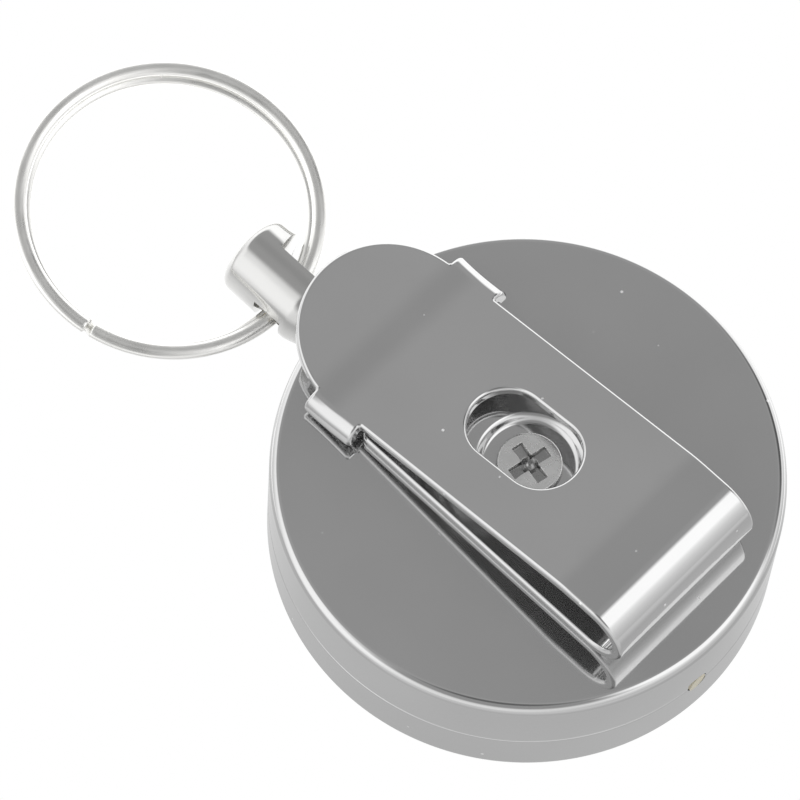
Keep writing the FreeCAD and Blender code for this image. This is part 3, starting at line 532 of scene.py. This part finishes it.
def braid(name, color, length_axis):
    """Fine round braid: two crossing sets of slanted strands."""
    m, nt, b = material(name, color, 0.0, 0.72)
    L = nt.links.new
    b.inputs["Sheen Weight"].default_value = 0.35
    b.inputs["Sheen Roughness"].default_value = 0.4
    co = node(nt, "ShaderNodeTexCoord").outputs["Object"]
    heights = []
    for slant in (0.9, -0.9):
        mp = node(nt, "ShaderNodeMapping", inputs={"Rotation": (0.0, 0.35 * slant, slant), "Scale": (1, 1, 1)})
        L(co, mp.inputs["Vector"])
        w = node(nt, "ShaderNodeTexWave", wave_type="BANDS", bands_direction=length_axis,
                 inputs={"Scale": 1100.0, "Distortion": 0.6, "Detail": 1.0})
        L(mp.outputs["Vector"], w.inputs["Vector"])
        heights.append(w.outputs["Fac"])
    top = node(nt, "ShaderNodeMath", operation="MAXIMUM")
    L(heights[0], top.inputs[0])
    L(heights[1], top.inputs[1])
    L(mixed(nt, top.outputs["Value"], tuple(c * 0.45 for c in color), tuple(c * 1.6 for c in color)),
      b.inputs["Base Color"])
    bump = node(nt, "ShaderNodeBump", inputs={"Strength": 1.0, "Distance": 5e-5})
    L(top.outputs["Value"], bump.inputs["Height"])
    L(bump.outputs["Normal"], b.inputs["Normal"])
    return m


CHROME = (0.62, 0.62, 0.62)
RING_CENTRE = (0.03666, 0.00235, 0.00718)
RING_TILT = math.radians(7.0)
MATS = {
    "chrome_case": chrome("chrome_case", CHROME, specks=0.45),
    "chrome_clip": chrome("chrome_clip", CHROME, specks=0.25),
    "chrome_fitting": chrome("chrome_fitting", (0.62, 0.618, 0.61), rough=(0.08, 0.20), specks=0.6, wave=2.2e-5),
    "nickel_wire": wire_metal("nickel_wire", (0.92, 0.912, 0.89), RING_CENTRE, RING_TILT),
    # zinc with painted shade below the screw head's top face, used on the screw and on the centre post
    "zinc_steel": zinc_with_painted_shade("zinc_steel", (0.90, 0.90, 0.895), 0.25, 13.09, 12.80),
    "spring_steel": brushed("spring_steel", (0.33, 0.34, 0.37), 0.28, (1, 1, 12)),
    "brass": brushed("brass", (0.75, 0.60, 0.30), 0.30, (1, 8, 8)),
    "housing_nylon": moulded("housing_nylon", (0.60, 0.56, 0.44), 0.42, sub=0.1),
    "spool_nylon": moulded("spool_nylon", (0.80, 0.78, 0.70), 0.45, sub=0.1),
    "bush_plastic": moulded("bush_plastic", (0.03, 0.03, 0.033), 0.25),
    "washer_plastic": moulded("washer_plastic", (0.85, 0.85, 0.83), 0.5, scale=900.0),
    "cord_braid": braid("cord_braid", (0.05, 0.05, 0.055), "X"),
}
for m_name, m in MATS.items():
    m.diffuse_color = (*m.node_tree.nodes["Principled BSDF"].inputs["Base Color"].default_value[:3], 1)


def finish_with(ob, slot, body=None, nodes=()):
    ob.data.materials.clear()
    ob.data.materials.append(MATS[slot])
    if body:
        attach(ob, body)
    if nodes:
        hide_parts(*nodes)
    return ob


# ------------------------------------------------------------------ case shells
STEPS = 256
DISH_R, DISH_FLOOR = 4.35, 3.5
rear = [(20.0, 5.64), (20.0, 5.8), (20.0, 8.5), (20.0, 11.12), (20.0, 11.17)] + arc(19.2, 11.2, 0.8, 0, 90, 16) + [
    (19.17, 12.0), (19.1, 12.0), (18.0, 12.0), (14.0, 12.0), (9.0, 12.0), (5.0, 12.0)]
rear += [(DISH_R + (DISH_FLOOR - DISH_R) * i / 10, 12.0 - 0.5 * (3 * (i / 10) ** 2 - 2 * (i / 10) ** 3)) for i in range(11)]
rear += [(2.6, 11.5), (1.65, 11.5), (1.65, 10.9), (3.7, 10.9), (4.6, 11.4), (12.0, 11.4), (18.8, 11.4)]
rear += arc(18.9, 10.9, 0.5, 90, 0, 4) + [(19.4, 7.6), (19.4, 5.52)]
rear += [(19.86, 5.52), (19.93, 5.545), (19.98, 5.59)]
rear_shell = lathe("rear_shell_drawn", rear, STEPS)
front = [(0.0, 0.0), (6.0, 0.0), (12.0, 0.0), (17.0, 0.0), (19.0, 0.0), (19.07, 0.0)]
front += arc(19.1, 0.9, 0.9, -90, 0, 16) + [(20.0, 0.93), (20.0, 1.0), (20.0, 3.0), (20.0, 5.25), (20.0, 5.36),
          (19.98, 5.41), (19.93, 5.455), (19.86, 5.48), (19.37, 5.48), (19.37, 7.35), (19.22, 7.5), (18.85, 7.5),
          (18.77, 7.42), (18.77, 5.2), (19.4, 4.6), (19.4, 1.1)] + arc(18.9, 1.1, 0.5, 0, -90, 4) + [
          (12.0, 0.6), (6.0, 0.6), (0.0, 0.6)]
front_shell = lathe("front_shell_drawn", front, STEPS)


def drill(x0, x1, y, z, r, n=72):
    ring = [(y + r * math.cos(2 * math.pi * i / n), z + r * math.sin(2 * math.pi * i / n)) for i in range(n)]
    return prism("drill", ring, x0, x1)


for shell in (rear_shell, front_shell):
    cut(shell, drill(17.0, 22.0, 0.0, 6.2, 2.15), drill(-21.5, -18.0, 1.67, 5.65, 0.95, 48))
    shell.data.set_sharp_from_angle(angle=math.radians(40))
finish_with(rear_shell, "chrome_case", "case", ["rear_shell"])
finish_with(front_shell, "chrome_case", "case", ["front_shell"])

# ------------------------------------------------------------------- belt clip
T, W, EDGE = 1.0, 7.5, 0.30
FOLD_X, FOLD_Z, FOLD_MID = -13.05, 15.25, 2.75
SLOPE = 10.05


def dish(r):
    u = min(max((DISH_R - r) / (DISH_R - DISH_FLOOR), 0.0), 1.0)
    return 0.5 * u * u * (3 - 2 * u)


leaf = Strip(FOLD_X - FOLD_MID, FOLD_Z, -90, [("arc", FOLD_MID, 90), ("line", 24.05, 0)])
rows = leaf.rows()
end = leaf.reach(11.0)
side = [r for r in rows if r < rows[-1] - 1e-6] + list(np.arange(rows[-1], end - 0.9, 1.5))
outer = [(a, -W) for a in side] + [(end - 0.8, -W)]
outer += [(end - 0.8 + 0.8 * math.sin(f), -W + 0.8 - 0.8 * math.cos(f)) for f in np.radians(np.arange(9, 91, 9))]
outer += run((end, -W + 0.8), (end, W - 0.8), 0.9, first=False, last=True)
outer += [(end - 0.8 + 0.8 * math.cos(f), W - 0.8 + 0.8 * math.sin(f)) for f in np.radians(np.arange(9, 91, 9))]
outer += [(a, W) for a in reversed(side)]
outer += run((0.0, W), (0.0, -W), 0.9, first=False, last=False)
screw_hole = [(leaf.reach(1.65 * math.cos(f)), 1.65 * math.sin(f)) for f in np.linspace(0, -2 * math.pi, 64, endpoint=False)]
inner = [(a, y) for a in rows[1:] for y in np.linspace(-W + 0.6, W - 0.6, 9)]
inner += [(a, y) for a in np.arange(rows[-1] + 0.5, end - 0.4, 1.7) for y in np.arange(-6.6, 6.7, 1.2)
          if math.hypot(leaf.at(a)[0], y) > 5.1]
for r in [2.4, 2.9, 3.2, 3.32] + list(np.arange(3.38, 4.45, 0.06)) + [4.5, 4.7]:
    inner += [(leaf.reach(r * math.cos(f)), r * math.sin(f)) for f in np.linspace(0, 2 * math.pi, 96, endpoint=False)]
clip_base = pressed_sheet("clip_leaf_and_fold", leaf, outer, [screw_hole], inner, T, EDGE, W, 0, True, dish)
finish_with(clip_base, "chrome_clip", "case", ["clip_base"])

BEND_R = 9.0
lead = BEND_R * math.tan(math.radians(SLOPE / 2))
FLARE_X, FLARE, FLARE_R, TIP_LONG, TIP_ROUND = 14.5, 9.5, 12.0, 7.79, 7.66
flare_lead = FLARE_R * math.tan(math.radians((SLOPE + FLARE) / 2))
arm = Strip(FOLD_X - FOLD_MID, FOLD_Z, 90, [
    ("arc", FOLD_MID, -90), ("line", -10.0 - lead - FOLD_X, 0), ("arc", BEND_R, -SLOPE),
    ("line", (FLARE_X + 10.0) / math.cos(math.radians(SLOPE)) - lead - flare_lead, 0),
    ("arc", FLARE_R, SLOPE + FLARE), ("line", 20.0, 0)])
rows = arm.rows()
TAB0, TAB1, TAB_R, TAB_CORNER, TAB_ROOT = 10.9, 15.6, 0.9, 0.45, 0.12
tab_len = TAB_R * math.pi / 2 + 0.4
a0, a1 = arm.reach(TAB0, 3), arm.reach(TAB1, 3)
straight = arm.parts[3][0]
side = [r for r in rows if r < straight + 1e-6] + list(np.arange(straight + 0.8, a0 - TAB_ROOT - 0.2, 0.9))


def tab_side(sign):
    """One ear from the arm's edge out and back, in order of growing length."""
    s = sign
    pts = [(a0 - TAB_ROOT + TAB_ROOT * math.sin(f), s * (W + TAB_ROOT - TAB_ROOT * math.cos(f)))
           for f in np.radians(np.arange(0, 91, 15))]
    top = W + tab_len
    pts += run((a0, s * (W + TAB_ROOT)), (a0, s * (top - TAB_CORNER)), 0.12, first=False)
    pts += [(a0 + TAB_CORNER - TAB_CORNER * math.cos(f), s * (top - TAB_CORNER + TAB_CORNER * math.sin(f)))
            for f in np.radians(np.arange(0, 91, 11.25))]
    pts += run((a0 + TAB_CORNER, s * top), (a1 - TAB_CORNER, s * top), 0.4, first=False)
    pts += [(a1 - TAB_CORNER + TAB_CORNER * math.sin(f), s * (top - TAB_CORNER + TAB_CORNER * math.cos(f)))
            for f in np.radians(np.arange(0, 91, 11.25))]
    pts += run((a1, s * (top - TAB_CORNER)), (a1, s * (W + TAB_ROOT)), 0.12, first=False)
    pts += [(a1 + TAB_ROOT - TAB_ROOT * math.cos(f), s * (W + TAB_ROOT - TAB_ROOT * math.sin(f)))
            for f in np.radians(np.arange(0, 90, 15))]
    return pts


tip_end = arm.parts[4][0] + arm.parts[4][1] - flare_lead + TIP_LONG
tip_mid = tip_end - TIP_ROUND
start_angle = math.degrees(math.asin(max(0.0, a1 + TAB_ROOT - tip_mid) / TIP_ROUND))
tip = [(tip_mid + TIP_ROUND * math.cos(f), W * math.sin(f))
       for f in np.radians(np.linspace(-90 + start_angle, 90 - start_angle, 97))]
if tip_mid > a1 + TAB_ROOT + 0.3:
    tip = [(a1 + TAB_ROOT + 0.15, -W)] + tip + [(a1 + TAB_ROOT + 0.15, W)]
near = [(a, W) for a in side] + tab_side(1)
far = [(a, -W) for a in side] + tab_side(-1)
outer = far + tip + list(reversed(near)) + run((0.0, W), (0.0, -W), 0.9, first=False, last=False)
WX, WL, WW = 0.78, 9.85, 6.2
half = (WL - WW) / 2
window = [(arm.reach(WX + half + WW / 2 * math.cos(f), 3), WW / 2 * math.sin(f)) for f in np.radians(np.linspace(90, -90, 49))]
window += run((arm.reach(WX + half, 3), -WW / 2), (arm.reach(WX - half, 3), -WW / 2), 0.6, first=False)
window += [(arm.reach(WX - half + WW / 2 * math.cos(f), 3), WW / 2 * math.sin(f)) for f in np.radians(np.linspace(-90, -270, 49))]
window += run((arm.reach(WX - half, 3), WW / 2), (arm.reach(WX + half, 3), WW / 2), 0.6, first=False)
inner = [(a, y) for a in rows[1:] for y in np.linspace(-W + 0.6, W - 0.6, 9)]
inner += [(a, y) for a in np.arange(straight + 0.6, arm.parts[4][0] - 0.3, 1.5) for y in np.arange(-6.6, 6.7, 1.2)]
inner += [(a, y) for a in np.arange(arm.parts[5][0] + 0.6, tip_end, 1.5) for y in np.arange(-6.6, 6.7, 1.2)]
for s in (1, -1):
    for y in list(np.arange(W - 0.12, W, 0.06)) + list(np.arange(W, W + tab_len - 0.2, 0.1)):
        inner += [(a, s * y) for a in np.linspace(a0 + 0.3, a1 - 0.3, 9)]
clip_arm = pressed_sheet("clip_arm_pressed", arm, outer, [window], inner, T, EDGE, W, TAB_R, True)
finish_with(clip_arm, "chrome_clip", None, ["clip_arm"])
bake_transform(clip_arm)


# ------------------------------------------------------------------ clip screw
def screw():
    rings, around = 92, 288
    head_r, top, under = 2.57, 13.15, 12.5
    ang = math.radians(-11)

    def recess(x, y):
        u, v = x * math.cos(ang) + y * math.sin(ang), -x * math.sin(ang) + y * math.cos(ang)
        d = 9.0
        for p, q in ((u, v), (v, u)):
            half_w = 0.46 + 0.02 * abs(p)
            d = min(d, max(abs(q) - half_w, abs(p) - 1.75))
        r = math.hypot(x, y)
        k = max(0.0, -d)
        deep = min(0.34 + 0.30 * max(0.0, 1 - r / 1.75), 5.0 * k)
        core = 0.95 * max(0.0, 1 - (r / 1.05) ** 2)
        e = min(1.0, max(0.0, -d / 0.06))
        return max(deep, core if d < 0 else 0.0) * (e * e * (3 - 2 * e) if d < 0 else 0)

    verts, faces = [(0, 0, top - recess(0, 0))], []
    radii = [head_r * 0.93 * (i / rings) for i in range(1, rings + 1)]
    levels = [None] * rings
    for i in range(1, 9):
        f = math.radians(90 * i / 8)
        radii.append(head_r * 0.93 + head_r * 0.07 * math.sin(f))
        levels.append(top - 0.045 - 0.18 * (1 - math.cos(f)))
    radii += [head_r, head_r - 0.08, 1.48, 1.48, 1.1, 0.0]
    levels += [under + 0.08, under, under, 5.95, 5.95 - 0.35, 5.95 - 0.35]
    ids = []
    for r, level in zip(radii, levels):
        if r == 0.0:
            verts.append((0, 0, level))
            ids.append([len(verts) - 1] * around)
            continue
        row = []
        for k in range(around):
            f = 2 * math.pi * k / around
            x, y = r * math.cos(f), r * math.sin(f)
            z = level if level is not None else top - 0.045 * (r / head_r / 0.93) ** 2 - recess(x, y)
            row.append(len(verts))
            verts.append((x, y, z))
        ids.append(row)
    for k in range(around):
        faces.append((0, ids[0][k], ids[0][(k + 1) % around]))
    for a, b in zip(ids[:-1], ids[1:]):
        for k in range(around):
            j = (k + 1) % around
            f = [a[k], b[k], b[j], a[j]]
            faces.append([v for n, v in enumerate(f) if v not in f[:n]])
    ob = outward(add("clip_screw_cross_head", verts, faces))
    ob.data.set_sharp_from_angle(angle=math.radians(50))
    return ob


finish_with(screw(), "zinc_steel", "case", ["clip_screw"])

# ------------------------------------------------- cord, bush, ferrule, fitting
EZ = 6.2
bush = [(0.85, 17.6), (0.85, 20.3), (0.98, 20.5), (1.1, 20.55), (2.55, 20.55), (2.66, 20.5), (2.7, 20.4), (2.7, 20.12),
        (2.1, 20.1), (2.1, 17.6), (2.0, 17.45), (1.0, 17.45)]
finish_with(lathe("exit_bush_moulded", bush, 96, "X", (0, 0, EZ)), "bush_plastic", "case", ["exit_bush"])
fer = [(0.56, 21.95), (1.2, 21.95), (1.34, 22.02), (1.38, 22.12), (1.38, 22.3), (1.24, 22.42), (1.24, 22.78), (1.38, 22.9),
       (1.38, 23.1), (1.32, 23.22), (1.2, 23.25), (0.0, 23.25), (0.0, 22.6), (0.56, 22.5)]
finish_with(lathe("cord_ferrule_crimped", fer, 72, "X", (0, 0, EZ)), "brass", "cord_end", ["cord_ferrule"])

R_ = 3.4
fit = [(0.8, 20.95), (0.9, 20.87), (2.5, 20.85), (2.66, 20.89), (2.75, 20.98)]
fit += [(2.75 + (R_ - 2.75) * (i / 10), 20.98 + 2.2 * (i / 10)) for i in range(1, 10)]
fit += [(R_ - 0.012, 23.2), (R_, 23.35), (R_, 23.5), (R_, 26.0), (R_, 28.3), (R_, 29.1)]
fit += arc(R_ - 0.8, 29.2, 0.8, 0, 90, 10)[0:]
fit = [(r, h) for r, h in fit]
fit += [(2.5, 30.0), (1.3, 30.0), (0.0, 30.0), (0.0, 24.1), (1.45, 24.1), (1.45, 21.9), (0.8, 21.9)]
fitting = lathe("end_fitting_turned", fit, 128, "X", (0, 0, EZ))
near_roof = EZ + 0.9 - (5.5 - 3.4) * math.tan(math.radians(29))
far_roof = EZ + 0.9 + (5.5 + 3.4) * math.tan(math.radians(29))
slot = [(5.5, EZ - 2.6), (5.5, near_roof), (-5.5, far_roof), (-5.5, EZ - 2.6)]
slot_cutter = prism("slot_cutter", slot, 23.6, 28.1)
for v in slot_cutter.data.vertices:      # the end wall runs outwards towards -Y
    if v.co.x > 0.025:
        v.co.x = (26.3 + (3.4 - v.co.y / MM) * 1.8 / 6.8) * MM
cut(fitting, slot_cutter)
bevel(fitting, 0.14, 38, 3)
fitting.data.set_sharp_from_angle(angle=math.radians(60))
finish_with(fitting, "chrome_fitting", "fitting", ["end_fitting"])


def cord_tube():
    """Cord from the wound coil round to the bush mouth and straight out to the ferrule."""
    lo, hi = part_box("cord_lead")
    bend, radius = 1.9, 0.55
    mouth = 17.45
    # straight from the coil to the bend, then an arc, then +X
    line = 13.75 - radius
    pts = []
    x0, y0 = lo.x / MM + 0.35, hi.y / MM - 0.45
    cy = bend
    cx = mouth - 0.05
    # tangent from (x0, y0) to the circle of radius `bend` centred (cx, cy)
    dx, dy = x0 - cx, y0 - cy
    dist = math.hypot(dx, dy)
    base = math.atan2(dy, dx)
    off = math.acos(min(1.0, bend / dist))
    touch = base + off
    tx, ty = cx + bend * math.cos(touch), cy + bend * math.sin(touch)
    for i in range(9):
        pts.append((x0 + (tx - x0) * i / 9, y0 + (ty - y0) * i / 9))
    a, b = touch, math.radians(270)
    if b < a:
        b += 2 * math.pi
    for i in range(13):
        f = a + (b - a) * i / 12
        pts.append((cx + bend * math.cos(f), cy + bend * math.sin(f)))
    for x in [17.9, 18.6, 19.3, 19.9] + list(np.linspace(20.0, 21.9, 20)):
        pts.append((x, 0.0))
    verts, faces, k = [], [], 20
    n = len(pts)
    for i, (x, y) in enumerate(pts):
        p, q = pts[max(i - 1, 0)], pts[min(i + 1, n - 1)]
        t = Vector((q[0] - p[0], q[1] - p[1], 0)).normalized()
        s = Vector((-t.y, t.x, 0))
        for j in range(k):
            f = 2 * math.pi * j / k
            rr = radius * (0.97 + 0.03 * math.cos(4 * f))
            verts.append((x + s.x * rr * math.cos(f), y + s.y * rr * math.cos(f), EZ + rr * math.sin(f)))
    for i in range(n - 1):
        for j in range(k):
            faces.append((i * k + j, i * k + (j + 1) % k, (i + 1) * k + (j + 1) % k, (i + 1) * k + j))
    faces.append(tuple(range(k)))
    faces.append(tuple(range((n - 1) * k, n * k)))
    return outward(add("cord_lead_braided", verts, faces))


cord = cord_tube()
finish_with(cord, "cord_braid", None, ["cord_lead"])
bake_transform(cord)


# ------------------------------------------------------------------ split ring
def split_ring():
    c = np.array(RING_CENTRE) / MM
    e1 = np.array((math.cos(RING_TILT), 0, math.sin(RING_TILT)))
    e2 = np.array((0, 1.0, 0))
    e3 = np.array((-math.sin(RING_TILT), 0, math.cos(RING_TILT)))
    wide, high = 1.235, 0.757
    section = []
    for i in range(36):
        f = 2 * math.pi * i / 36
        cs, sn = math.cos(f), math.sin(f)
        section.append((wide / 2 * cs, high / 2 * math.copysign(abs(sn) ** 0.97, sn)))
    a_start, climb0, climb1 = 105.3, 360 + 101.9, 360 + 104.9
    a_end = 720 + 101.5
    angles = list(np.arange(a_start, climb0, 1.5)) + list(np.arange(climb0, climb1, 0.4)) + list(np.arange(climb1, a_end, 1.5)) + [a_end]
    verts, faces = [], []
    k = len(section)

    def smooth(u):
        u = min(max(u, 0.0), 1.0)
        return u * u * (3 - 2 * u)

    def centre_line(u):
        g = smooth((u - climb0) / (climb1 - climb0))
        return 11.518 + (11.962 - 11.518) * g, -0.382 + 0.764 * g

    rows_ = [(u, 1.0) for u in angles]
    caps0 = [(a_start - 0.30, 0.70), (a_start - 0.22, 0.86), (a_start - 0.10, 0.96)]
    caps1 = [(a_end + 0.10, 0.96), (a_end + 0.22, 0.86), (a_end + 0.30, 0.70)]
    rows_ = caps0 + rows_ + caps1
    for u, grow in rows_:
        r, h = centre_line(u)
        f = math.radians(u)
        radial = e1 * math.cos(f) + e2 * math.sin(f)
        for w, v in section:
            verts.append(tuple(c + radial * (r + w * grow) + e3 * (h + v * grow)))
    n = len(rows_)
    for i in range(n - 1):
        for j in range(k):
            faces.append((i * k + j, i * k + (j + 1) % k, (i + 1) * k + (j + 1) % k, (i + 1) * k + j))
    faces.append(tuple(range(k)))
    faces.append(tuple(range((n - 1) * k, n * k)))
    ob = outward(add("split_ring_wire", verts, faces))
    ob.data.set_sharp_from_angle(angle=math.radians(50))
    return ob


finish_with(split_ring(), "nickel_wire", "ring", ["split_ring"])

# ------------------------------------------------------ pieces kept from the CAD
KEPT = {
    "inner_housing": "housing_nylon", "centre_post": "zinc_steel", "lower_washer": "washer_plastic",
    "upper_washer": "washer_plastic", "spool": "spool_nylon", "spool_cover": "spool_nylon",
    "wound_cord": "cord_braid", "cord_knot": "cord_braid", "mainspring": "spring_steel",
}
for name, slot_name in KEPT.items():
    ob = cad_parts[name]
    if not ob.material_slots:
        ob.data.materials.append(MATS[slot_name])
    for s in ob.material_slots:
        s.material = MATS[slot_name]

# --------------------------------------------------------------- floor and light
bm = bmesh.new()
bmesh.ops.create_grid(bm, x_segments=1, y_segments=1, size=2.5)
me = bpy.data.meshes.new("floor")
bm.to_mesh(me)
bm.free()
floor = bpy.data.objects.new("floor", me)
scene.collection.objects.link(floor)
floor.location = (0, 0, -0.00003)
# what the camera sees is plain white paper; what the metal mirrors is a table top
# lit more strongly on the side away from the camera
fm = bpy.data.materials.new("floor_paper")
fm.use_nodes = True
ft = fm.node_tree
ft.nodes.clear()
white = node(ft, "ShaderNodeEmission", inputs={"Color": (1, 1, 1, 1), "Strength": 1.0})
ft.links.new(white.outputs["Emission"], node(ft, "ShaderNodeOutputMaterial").inputs["Surface"])
me.materials.append(fm)
table = bpy.data.objects.new("table_top", me.copy())
scene.collection.objects.link(table)
table.location = floor.location
tm = bpy.data.materials.new("table_light")
tm.use_nodes = True
tt = tm.node_tree
tt.nodes.clear()
where = node(tt, "ShaderNodeTexCoord").outputs["Object"]
along = node(tt, "ShaderNodeVectorMath", operation="DOT_PRODUCT", inputs={1: (0.643, -0.766, 0.0)})
tt.links.new(where, along.inputs[0])
level = spread(tt, along.outputs["Value"], 0.0, 1.0, -0.07, 0.03)
fall = node(tt, "ShaderNodeValToRGB")
for i, (pos, value) in enumerate([(0.0, 0.80), (0.25, 0.74), (0.42, 0.57), (0.60, 0.60), (0.70, 0.68), (0.82, 1.0),
                                (0.95, 1.45), (1.0, 1.55)]):
    e = fall.color_ramp.elements[i] if i < 2 else fall.color_ramp.elements.new(pos)
    e.position = pos
    e.color = (value, value, value, 1)
tt.links.new(level, fall.inputs["Fac"])
glow = node(tt, "ShaderNodeEmission", inputs={"Strength": 1.0})
tt.links.new(fall.outputs["Color"], glow.inputs["Color"])
tt.links.new(glow.outputs["Emission"], node(tt, "ShaderNodeOutputMaterial").inputs["Surface"])
table.data.materials.clear()
table.data.materials.append(tm)
floor.visible_glossy = floor.visible_diffuse = floor.visible_shadow = floor.visible_transmission = False
table.visible_camera = table.visible_shadow = False

CAM_ROT = ((-0.7205218845141863, 0.646666258474597, -0.25034169466269685),
           (-0.6925112131271574, -0.6524360698502079, 0.307823641800898),
           (0.03572721132804058, 0.3951581011555755, 0.9179181017181443))
cam_data = bpy.data.cameras.new("camera")
cam_data.sensor_width = 36.0
cam_data.sensor_fit = "HORIZONTAL"
cam_data.lens = 253.98970285700932
cam_data.clip_start = 0.01
cam_data.clip_end = 20.0
cam_data.dof.use_dof = False
camera = bpy.data.objects.new("camera", cam_data)
scene.collection.objects.link(camera)
camera.matrix_world = Matrix.Translation((-0.09824553762506231, 0.1372279521544388, 0.412660734288226)) @ Matrix(CAM_ROT).to_4x4()
scene.camera = camera

# Studio surroundings: a grey ceiling off to one side of the zenith, pale walls,
# one bright window, and two dark patches where something keeps the light off.
world = bpy.data.worlds.new("studio")
scene.world = world
world.use_nodes = True
wt = world.node_tree
wt.nodes.clear()
WL_ = wt.links.new
direction = node(wt, "ShaderNodeTexCoord").outputs["Generated"]


def towards(elevation, azimuth):
    e, z = math.radians(elevation), math.radians(azimuth)
    return (math.cos(e) * math.cos(z), math.cos(e) * math.sin(z), math.sin(e))


def angle_from(vector):
    """Angle between the direction and `vector`, as a share of 90 degrees."""
    d = node(wt, "ShaderNodeVectorMath", operation="DOT_PRODUCT", inputs={1: vector})
    WL_(direction, d.inputs[0])
    a = node(wt, "ShaderNodeMath", operation="ARCCOSINE")
    WL_(d.outputs["Value"], a.inputs[0])
    s = node(wt, "ShaderNodeMath", operation="MULTIPLY", inputs={1: 2 / math.pi})
    WL_(a.outputs["Value"], s.inputs[0])
    return s.outputs["Value"]


def ramp(fac, stops):
    r = node(wt, "ShaderNodeValToRGB")
    cr = r.color_ramp
    cr.interpolation = "LINEAR"
    while len(cr.elements) > 1:
        cr.elements.remove(cr.elements[-1])
    for i, (pos, value) in enumerate(stops):
        e = cr.elements[0] if i == 0 else cr.elements.new(pos)
        e.position = pos
        e.color = (value, value, value, 1)
    WL_(fac, r.inputs["Fac"])
    return r.outputs["Color"]


def patch(under, elevation, azimuth, inner, outer, value):
    """Round area of one level with a soft edge, laid over `under`."""
    mask = ramp(angle_from(towards(elevation, azimuth)), [(inner / 90, 1.0), (outer / 90, 0.0)])
    m_ = node(wt, "ShaderNodeMix", data_type="RGBA")
    WL_(mask, m_.inputs["Factor"])
    WL_(under, m_.inputs["A"])
    m_.inputs["B"].default_value = (value, value, value, 1)
    return m_.outputs["Result"]


# by angle down from the zenith, as a share of 90 degrees
sky = ramp(angle_from((0.0, 0.0, 1.0)), [(0.0, 1.3), (0.45, 1.3), (0.62, 1.22), (0.75, 0.96), (0.88, 0.80), (1.0, 0.70)])
sky = patch(sky, 2, -48, 30, 75, 1.62)
sky = patch(sky, 28, 66, 14, 45, 1.38)
sky = patch(sky, 8, 118, 10, 40, 1.06)
sky = patch(sky, 60, 125, 20, 37, 0.37)
sky = patch(sky, 66, -66, 36, 47, 0.43)
sky = patch(sky, 66, -52, 5, 17, 0.375)
sky = patch(sky, 56, -150, 14, 22, 1.6)
sky = patch(sky, 42, -97, 6, 17, 0.08)
sky = patch(sky, 80, 128, 6, 14, 0.12)
bg = node(wt, "ShaderNodeBackground", inputs={"Strength": 1.0})
WL_(sky, bg.inputs["Color"])
out = node(wt, "ShaderNodeOutputWorld")
WL_(bg.outputs["Background"], out.inputs["Surface"])


def area(name, at, size, power):
    data = bpy.data.lights.new(name, "AREA")
    data.shape = "DISK"
    data.size = size
    data.energy = power
    ob = bpy.data.objects.new(name, data)
    scene.collection.objects.link(ob)
    ob.location = at
    ob.rotation_euler = (Vector((0.01, 0, 0)) - Vector(at)).to_track_quat("-Z", "Y").to_euler()
    ob.visible_glossy = False
    ob.visible_camera = False
    return ob


area("key", (-0.5, 0.7, 1.4), 1.2, 2.4)
area("top", (0.0, 0.0, 1.8), 1.6, 2.0)

# many bounces, so the gaps between plated faces do not go black
scene.cycles.max_bounces = 24
scene.cycles.glossy_bounces = 20
scene.cycles.diffuse_bounces = 6

scene.view_settings.view_transform = "Standard"
scene.view_settings.look = "None"
scene.view_settings.exposure = 0.0
scene.view_settings.gamma = 1.0
